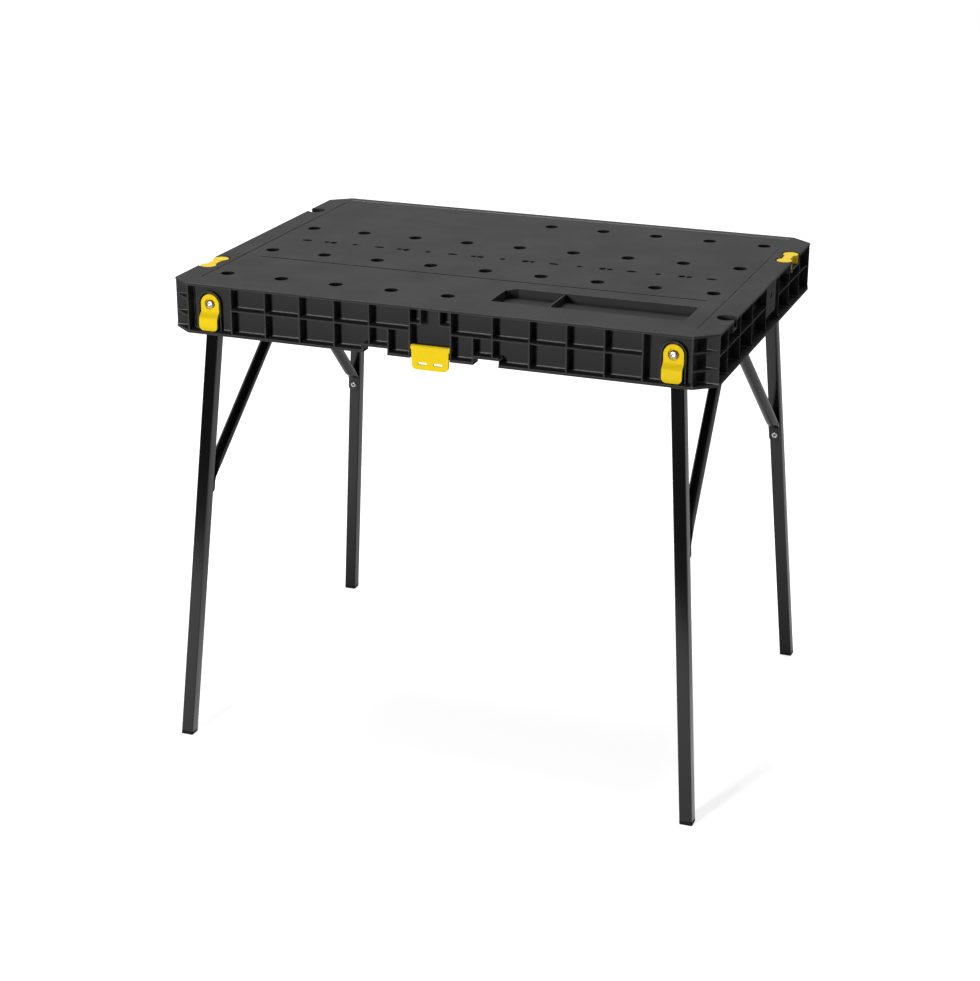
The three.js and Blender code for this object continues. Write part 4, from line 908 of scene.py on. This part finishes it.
@dataclass
class LegUnit:
    """A leg with its brace, rivet and foot cap."""

    corner: Corner
    brace_radius: float = 9.5
    tab_half_width: float = 10.5
    tab_half_thickness: float = 2.0
    tab_end: tuple[tuple[float, float], ...] = ((11.0, 5.6), (10.0, 8.0), (8.6, 9.5), (5.5, 10.5))
    lower_bend: float = 12.0
    upper_bend: float = 23.0
    bend_run: float = 3.0
    taper: float = 34.0
    taper_rings: int = 9
    sides: int = 32

    def build(self, palette: Palette) -> None:
        """Makes the brace and the rivet, and dresses the leg's own nodes."""
        name = self.corner.value
        lines = CornerLines(self.corner)
        body = f"leg_{name}"
        add_piece(f"brace_{name}_tube", self.brace(lines), palette.paint, body, [f"brace_{name}"], 50.0)
        add_piece(f"brace_{name}_rivet", self.rivet(lines), palette.zinc, body, [f"brace_rivet_{name}"])
        leg = node_copy(f"leg_tube_{name}")
        shade_curves(leg, math.radians(50.0))
        add_piece(f"leg_{name}_tube", leg, palette.paint, body, [f"leg_tube_{name}"], 50.0)

    def brace(self, lines: CornerLines) -> bmesh.types.BMesh:
        """A round tube whose ends are pressed flat.

        Args:
            lines: The corner's lines.

        Returns:
            The tube in place.
        """
        name = self.corner.value
        node = f"brace_{name}"
        rivet = box_centre(f"brace_rivet_{name}")
        on_leg = lines.foot + lines.up * (rivet - lines.foot).dot(lines.up)
        gap = span_along(node, on_leg, lines.inward)[0] + self.tab_half_thickness
        start = on_leg + lines.inward * (gap * MM)
        pin_up = lines.outward.cross(lines.across)
        if pin_up.z < 0.0:
            pin_up = -pin_up
        lower = start + lines.up * (self.lower_bend * MM)
        upper = lines.pin - pin_up * (self.upper_bend * MM)
        run = (upper - lower).normalized()
        flat = (self.tab_half_width, self.tab_half_thickness)
        stations = [(start - lines.up * (past * MM), lines.up, (half, flat[1])) for past, half in self.tab_end]
        stations.append((lower - lines.up * (self.bend_run * MM), lines.up, flat))
        shares = [ring / (self.taper_rings - 1) for ring in range(self.taper_rings)]
        reaches = [(self.bend_run + share * (self.taper - self.bend_run)) * MM for share in shares]
        halves = [self.half_size(share) for share in shares]
        stations += [(lower + run * reach, run, half) for reach, half in zip(reaches, halves)]
        stations += [(upper - run * reach, run, half) for reach, half in zip(reaches[::-1], halves[::-1])]
        stations.append((upper + pin_up * (self.bend_run * MM), pin_up, flat))
        stations += [
            (lines.pin + pin_up * (past * MM), pin_up, (half, flat[1])) for past, half in reversed(self.tab_end)
        ]
        return drawn_tube([self.station(*item) for item in stations], self.sides)

    def half_size(self, share: float) -> tuple[float, float]:
        """The tube's half width and half thickness between a flat end and the round middle.

        Args:
            share: 0 where the end is flat, 1 where the tube is round.

        Returns:
            Both sizes, in millimetres.
        """
        eased = ease(share)
        width = self.tab_half_width + eased * (self.brace_radius - self.tab_half_width)
        return width, self.tab_half_thickness + eased * (self.brace_radius - self.tab_half_thickness)

    @staticmethod
    def station(at: Vector, along: Vector, half: tuple[float, float]) -> Matrix:
        """The place and size of one ring of the tube.

        Args:
            at: The ring's middle.
            along: The direction of the tube there.
            half: Half width and half thickness, in millimetres.

        Returns:
            The matrix that takes a unit circle there.
        """
        side = (Vector((1.0, 0.0, 0.0)) - along * along.x).normalized()
        front = along.cross(side)
        turn = Matrix((side * half[0] * MM, front * half[1] * MM, along)).transposed().to_4x4()
        return Matrix.Translation(at) @ turn

    def rivet(self, lines: CornerLines) -> bmesh.types.BMesh:
        """A hollow rivet.

        Args:
            lines: The corner's lines.

        Returns:
            The rivet in place.
        """
        node = f"brace_rivet_{self.corner.value}"
        centre = box_centre(node)
        origin = lines.foot + lines.up * (centre - lines.foot).dot(lines.up)
        low, high = span_along(node, origin, lines.inward)
        mesh = spun(
            [
                (1.6, low), (3.7, low), (3.7, low + 1.2), (3.0, low + 1.6), (3.0, high - 2.0), (4.7, high - 2.0),
                (4.8, high - 1.5), (4.6, high - 0.8), (4.0, high - 0.2), (3.2, high), (2.4, high - 0.2),
                (1.9, high - 0.7), (1.6, high - 1.4), (1.6, low),
            ],
            32,
        )
        bmesh.ops.transform(mesh, matrix=axis_matrix(origin, lines.inward), verts=mesh.verts)
        return mesh


def drawn_tube(rings: Sequence[Matrix], sides: int) -> bmesh.types.BMesh:
    """A closed tube drawn through rings of one count.

    Args:
        rings: The place of each ring, applied to a unit circle.
        sides: Faces round the tube.

    Returns:
        The tube.
    """
    mesh = bmesh.new()
    bmesh.ops.create_circle(mesh, cap_ends=False, segments=sides, radius=1.0, matrix=rings[0])
    loop = list(mesh.edges)
    ends = [loop]
    for before, after in zip(rings, rings[1:]):
        made = bmesh.ops.extrude_edge_only(mesh, edges=loop)["geom"]
        verts = [item for item in made if isinstance(item, bmesh.types.BMVert)]
        bmesh.ops.transform(mesh, matrix=after @ before.inverted(), verts=verts)
        loop = [item for item in made if isinstance(item, bmesh.types.BMEdge) and item.is_boundary]
    ends.append(loop)
    for edges in ends:
        bmesh.ops.contextual_create(mesh, geom=edges)
    bmesh.ops.recalc_face_normals(mesh, faces=mesh.faces)
    shade_curves(mesh, math.radians(60.0))
    return mesh


@dataclass
class Latch:
    """A leg's yellow latch and the pivot bolt behind it. Heights count from the bolt, depths from the wall."""

    corner: Corner
    width: float = 30.0
    length: float = 54.6
    clearance: float = 0.3
    plate: float = 4.5
    tab: float = 3.5
    tab_offset: float = 9.0
    jog_start: float = 10.5
    jog_length: float = 11.6
    lower_corner: float = 7.0
    seat_radius: float = 8.5
    seat_depth: float = 2.5
    hole_radius: float = 6.3
    peg_radius: float = 3.5
    peg_drop: float = 24.0
    peg_reach: float = 6.3
    edge_rounding: float = 1.2
    grip_start: float = 25.5
    grip_pitch: float = 1.6
    grip_rows: int = 6
    grip_height: float = 0.35

    def __post_init__(self) -> None:
        """Reads the latch's place from its node."""
        low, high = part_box(f"leg_latch_{self.corner.value}")
        front = low.y < 0.0
        reach = (self.clearance + self.tab_offset + self.tab) * MM
        wall = low.y + reach if front else high.y - reach
        turn = Matrix.Rotation(0.0 if front else math.pi, 4, "Z")
        self.place = Matrix.Translation(((low.x + high.x) / 2.0, wall, high.z - self.width / 2.0 * MM)) @ turn

    def build(self, palette: Palette) -> None:
        """Makes the latch and the bolt."""
        name = self.corner.value
        shape = combine(self.pressed_plate(), self.peg(), Action.JOIN)
        shape = combine(shape, self.seat(), Action.CUT)
        bmesh.ops.transform(shape, matrix=self.place, verts=shape.verts)
        shade_curves(shape, math.radians(40.0))
        round_edges(shape, self.edge_rounding, 3, 55.0)
        add_piece(f"latch_{name}_plate", shape, palette.yellow, f"latch_{name}", [f"leg_latch_{name}"], 55.0)
        bolt = self.bolt(CornerLines(self.corner))
        add_piece(f"bolt_{name}", bolt, palette.zinc, "deck", [f"pivot_bolt_{name}"])

    def pressed_plate(self) -> bmesh.types.BMesh:
        """A plate with a round head, pressed forward in an S above its grip.

        Returns:
            The plate round the latch's own origin.
        """
        mesh = bmesh.new()
        mesh.faces.layers.float.new(ROUNDING)
        half = self.width / 2.0
        middle = vector_mm(0.0, -self.clearance - self.plate / 2.0, half - self.length / 2.0)
        size = vector_mm(self.width, self.plate, self.length)
        bmesh.ops.create_cube(mesh, size=1.0, matrix=Matrix.LocRotScale(middle, None, size))
        for upper, offset in ((False, self.lower_corner), (True, half - 0.01)):
            corners = [
                edge
                for edge in mesh.edges
                if abs(edge.verts[0].co.y - edge.verts[1].co.y) > self.plate / 2.0 * MM
                and (edge.verts[0].co.z > 0.0) == upper
            ]
            bevel_edges(mesh, corners, offset, 14, 0.0)
        bmesh.ops.remove_doubles(mesh, verts=mesh.verts, dist=0.05 * MM)
        slices = [self.jog_start + step for step in range(int(self.jog_length + self.tab) + 1)]
        slices += [self.grip_start + step * self.grip_pitch / 2.0 for step in range(2 * self.grip_rows + 1)]
        for drop in slices:
            bmesh.ops.bisect_plane(
                mesh,
                geom=list(mesh.verts) + list(mesh.edges) + list(mesh.faces),
                plane_co=vector_mm(0.0, 0.0, -drop),
                plane_no=(0.0, 0.0, 1.0),
            )
        for vert in mesh.verts:
            self.press(vert)
        return mesh

    def press(self, vert: bmesh.types.BMVert) -> None:
        """Moves a point of the flat plate to its place on the pressed one."""
        drop = -vert.co.z / MM
        if -vert.co.y / MM > self.clearance + self.plate / 2.0:
            share = ease((drop - self.jog_start) / self.jog_length)
            depth = self.clearance + self.plate + share * (self.tab_offset + self.tab - self.plate)
            row = (drop - self.grip_start) / self.grip_pitch
            if 0.0 < row < self.grip_rows and abs(row % 1.0 - 0.5) < 0.1:
                depth += self.grip_height
        else:
            share = ease((drop - self.jog_start - self.tab) / self.jog_length)
            depth = self.clearance + share * self.tab_offset
        vert.co.y = -depth * MM

    def peg(self) -> bmesh.types.BMesh:
        """The locking peg behind the tab."""
        mesh = bmesh.new()
        mesh.faces.layers.float.new(ROUNDING)
        reach = self.peg_reach + self.clearance + self.tab_offset + 1.0
        middle = vector_mm(0.0, self.peg_reach - reach / 2.0, -self.peg_drop)
        bmesh.ops.create_cone(
            mesh,
            cap_ends=True,
            segments=32,
            radius1=self.peg_radius * MM,
            radius2=self.peg_radius * MM,
            depth=reach * MM,
            matrix=axis_matrix(middle, Vector((0.0, -1.0, 0.0))),
        )
        return mesh

    def seat(self) -> bmesh.types.BMesh:
        """The cutter for the bolt's hole and for the seat round its head."""
        floor = self.clearance + self.plate - self.seat_depth
        top = floor + self.seat_depth + 2.0
        profile = [(0.0, -2.0), (self.hole_radius, -2.0), (self.hole_radius, floor), (self.seat_radius, floor)]
        mesh = spun(profile + [(self.seat_radius, top), (0.0, top)])
        turned = axis_matrix(Vector(), Vector((0.0, -1.0, 0.0)))
        bmesh.ops.transform(mesh, matrix=turned, verts=mesh.verts)
        mesh.faces.layers.float.new(ROUNDING)
        return mesh

    def bolt(self, lines: CornerLines) -> bmesh.types.BMesh:
        """A domed bolt with a round drive.

        Args:
            lines: The corner's lines.

        Returns:
            The bolt in place.
        """
        low, high = span_along(f"pivot_bolt_{self.corner.value}", lines.pivot, lines.outward)
        mesh = spun(
            [
                (0.0, low), (3.4, low), (4.0, low + 0.6), (4.0, high - 3.0), (6.3, high - 3.0), (6.5, high - 2.7),
                (6.45, high - 2.0), (5.9, high - 1.0), (4.9, high - 0.35), (3.6, high - 0.02), (2.7, high),
                (2.5, high - 0.2), (2.4, high - 1.5), (0.0, high - 1.9),
            ],
            48,
        )
        bmesh.ops.transform(mesh, matrix=axis_matrix(lines.pivot, lines.outward), verts=mesh.verts)
        return mesh


@dataclass
class Fittings:
    """The hasp and the two link keys."""

    hasp_rounding: float = 0.7
    key_rounding: float = 0.8

    def build(self, palette: Palette) -> None:
        """Makes the yellow fittings that swing or turn."""
        hasp = node_copy("hasp")
        shade_curves(hasp, math.radians(40.0))
        round_edges(hasp, self.hasp_rounding, 2, 40.0)
        add_piece("hasp_leaf", hasp, palette.yellow, "hasp", ["hasp"])
        for end in End:
            key = node_copy(f"link_key_{end.value}")
            shade_curves(key, math.radians(60.0))
            round_edges(key, self.key_rounding, 2, 60.0)
            add_piece(f"key_{end.value}_link", key, palette.yellow, f"key_{end.value}", [f"link_key_{end.value}"])


def dress_nodes(palette: Palette) -> None:
    """Gives each node that still shows its own finish."""
    slots = {item["node"]: item["material_slot"] for item in frame["record"]["subparts"]}
    for name, node in frame["nodes"].items():
        if node.hide_render:
            continue
        node.data.materials.clear()
        node.data.materials.append(palette.by_slot(slots[name]))
        LOG.info("%s keeps its shape in %s", name, slots[name])


# The studio


@dataclass
class Studio:
    """The floor, the light and the camera."""

    camera_place: tuple[float, float, float] = (1.128127, -3.080268, 1.580753)
    azimuth: float = 20.44
    elevation: float = 20.427
    roll: float = 0.251
    focal_length: float = 79.08
    world_strength: float = 0.08
    floor_size: float = 9.0
    floor_front: float = 1.4
    # Share of the floor's mirrored glow kept behind the bench, a painted shade.
    shaded_rear_share: float = 0.1

    def build(self) -> None:
        """Sets up everything round the bench."""
        scene = bpy.context.scene
        scene.view_settings.view_transform = "Standard"
        scene.camera = self.camera()
        self.world()
        self.floor()
        self.lamp("key", (-1.0, -4.2, 1.5), (0.0, 0.0, 0.68), 0.7, 134.0)
        self.lamp("top", (-0.3, 0.6, 3.3), (0.0, 0.0, 0.7), 2.4, 72.0)

    def camera(self) -> bpy.types.Object:
        """The camera at the photograph's viewing angle.

        Returns:
            The camera.
        """
        azimuth, elevation, roll = (math.radians(v) for v in (self.azimuth, self.elevation, self.roll))
        back = Vector(
            (
                math.sin(azimuth) * math.cos(elevation),
                -math.cos(azimuth) * math.cos(elevation),
                math.sin(elevation),
            )
        )
        level = Vector((math.cos(azimuth), math.sin(azimuth), 0.0))
        rise = back.cross(level)
        right = level * math.cos(roll) + rise * math.sin(roll)
        up = rise * math.cos(roll) - level * math.sin(roll)
        data = bpy.data.cameras.new("camera")
        data.lens = self.focal_length
        data.sensor_width = 36.0
        camera = bpy.data.objects.new("camera", data)
        camera.matrix_world = (
            Matrix.Translation(self.camera_place) @ Matrix((right, up, back)).transposed().to_4x4()
        )
        bpy.context.scene.collection.objects.link(camera)
        return camera

    def world(self) -> None:
        """Pale light from all round, which the camera sees as white."""
        world = bpy.data.worlds.new("studio")
        world.use_nodes = True
        bpy.context.scene.world = world
        hand = NodeTree(world.node_tree)
        soft = world.node_tree.nodes["Background"]
        soft.inputs["Color"].default_value = (1.0, 1.0, 1.0, 1.0)
        soft.inputs["Strength"].default_value = self.world_strength
        white = hand.add("ShaderNodeBackground")
        white.inputs["Color"].default_value = (1.0, 1.0, 1.0, 1.0)
        white.inputs["Strength"].default_value = 1.0
        split = hand.add("ShaderNodeSeparateXYZ")
        hand.join(hand.add("ShaderNodeTexCoord").outputs["Generated"], split.inputs["Vector"])
        behind = hand.spread(split.outputs["Y"], 0.0, 1.0, (0.0, 0.3))
        path = hand.add("ShaderNodeLightPath")
        mirrored = hand.math("MULTIPLY", self.mirrored(hand, path), behind)
        mix = hand.add("ShaderNodeMixShader")
        hand.join(hand.math("MAXIMUM", path.outputs["Is Camera Ray"], mirrored), mix.inputs["Fac"])
        hand.join(soft.outputs["Background"], mix.inputs[1])
        hand.join(white.outputs["Background"], mix.inputs[2])
        hand.join(mix.outputs["Shader"], world.node_tree.nodes["World Output"].inputs["Surface"])

    @staticmethod
    def mirrored(hand: NodeTree, path: bpy.types.Node) -> bpy.types.NodeSocket:
        """Whether a ray was mirrored by the bench or passed through it, as 0 or 1."""
        return hand.math("MAXIMUM", path.outputs["Is Glossy Ray"], path.outputs["Is Transmission Ray"])

    def floor(self) -> None:
        """A wide pale floor that keeps a faint shadow and is clear from below; behind the bench, its glow in
        reflections is dimmed as a painted shade.
        """
        mesh = bmesh.new()
        bmesh.ops.create_grid(mesh, x_segments=1, y_segments=1, size=self.floor_size / 2.0)
        middle = Vector((0.0, self.floor_size / 2.0 - self.floor_front, -0.0005))
        bmesh.ops.translate(mesh, vec=middle, verts=mesh.verts)
        data = bpy.data.meshes.new("floor")
        mesh.to_mesh(data)
        mesh.free()
        floor = bpy.data.objects.new("floor", data)
        bpy.context.scene.collection.objects.link(floor)
        material = bpy.data.materials.new("floor_paper")
        material.use_nodes = True
        hand = NodeTree(material.node_tree)
        shader = material.node_tree.nodes["Principled BSDF"]
        shader.inputs["Base Color"].default_value = (0.82, 0.82, 0.82, 1.0)
        shader.inputs["Roughness"].default_value = 0.9
        glow = hand.add("ShaderNodeEmission")
        path = hand.add("ShaderNodeLightPath")
        reach = hand.add("ShaderNodeVectorMath", operation="LENGTH")
        place = hand.add("ShaderNodeTexCoord").outputs["Object"]
        hand.join(place, reach.inputs[0])
        fade = hand.add("ShaderNodeMapRange", interpolation_type="SMOOTHSTEP")
        fade.inputs["From Min"].default_value = 0.6
        fade.inputs["From Max"].default_value = 2.4
        fade.inputs["To Min"].default_value = 0.72
        fade.inputs["To Max"].default_value = 1.0
        hand.join(reach.outputs["Value"], fade.inputs["Value"])
        split = hand.add("ShaderNodeSeparateXYZ")
        hand.join(place, split.inputs["Vector"])
        # Painted shade: the floor's glow as mirrored by the bench is dimmed behind it, in place of the bench's
        # shadow.
        reflection_shade = hand.spread(split.outputs["Y"], 1.0, self.shaded_rear_share, (-0.1, 0.3))
        mirrored = hand.math("MULTIPLY", self.mirrored(hand, path), reflection_shade)
        seen = hand.math("MAXIMUM", path.outputs["Is Camera Ray"], mirrored)
        hand.join(hand.math("MULTIPLY", seen, fade.outputs["Result"]), glow.inputs["Strength"])
        both = hand.add("ShaderNodeAddShader")
        hand.join(shader.outputs["BSDF"], both.inputs[0])
        hand.join(glow.outputs["Emission"], both.inputs[1])
        below = hand.add("ShaderNodeMixShader")
        hand.join(hand.add("ShaderNodeNewGeometry").outputs["Backfacing"], below.inputs["Fac"])
        hand.join(both.outputs["Shader"], below.inputs[1])
        hand.join(hand.add("ShaderNodeBsdfTransparent").outputs["BSDF"], below.inputs[2])
        hand.join(below.outputs["Shader"], material.node_tree.nodes["Material Output"].inputs["Surface"])
        data.materials.append(material)

    def lamp(
        self,
        name: str,
        place: tuple[float, float, float],
        target: tuple[float, float, float],
        size: float,
        watts: float,
    ) -> None:
        """Hangs a square softbox.

        Args:
            name: The lamp's name.
            place: Where it hangs.
            target: What it points at.
            size: Its side, in metres.
            watts: Its power.
        """
        data = bpy.data.lights.new(name, "AREA")
        data.size = size
        data.energy = watts
        lamp = bpy.data.objects.new(name, data)
        lamp.matrix_world = axis_matrix(Vector(place), Vector(place) - Vector(target))
        bpy.context.scene.collection.objects.link(lamp)


def main() -> None:
    """Builds the bench piece by piece, then the studio."""
    logging.basicConfig(level=logging.INFO, format="%(name)s: %(message)s")
    palette = Palette()
    Deck().build(palette)
    for corner in Corner:
        LegUnit(corner).build(palette)
        Latch(corner).build(palette)
    Fittings().build(palette)
    dress_nodes(palette)
    Studio().build()


if __name__ == "__main__":
    main()
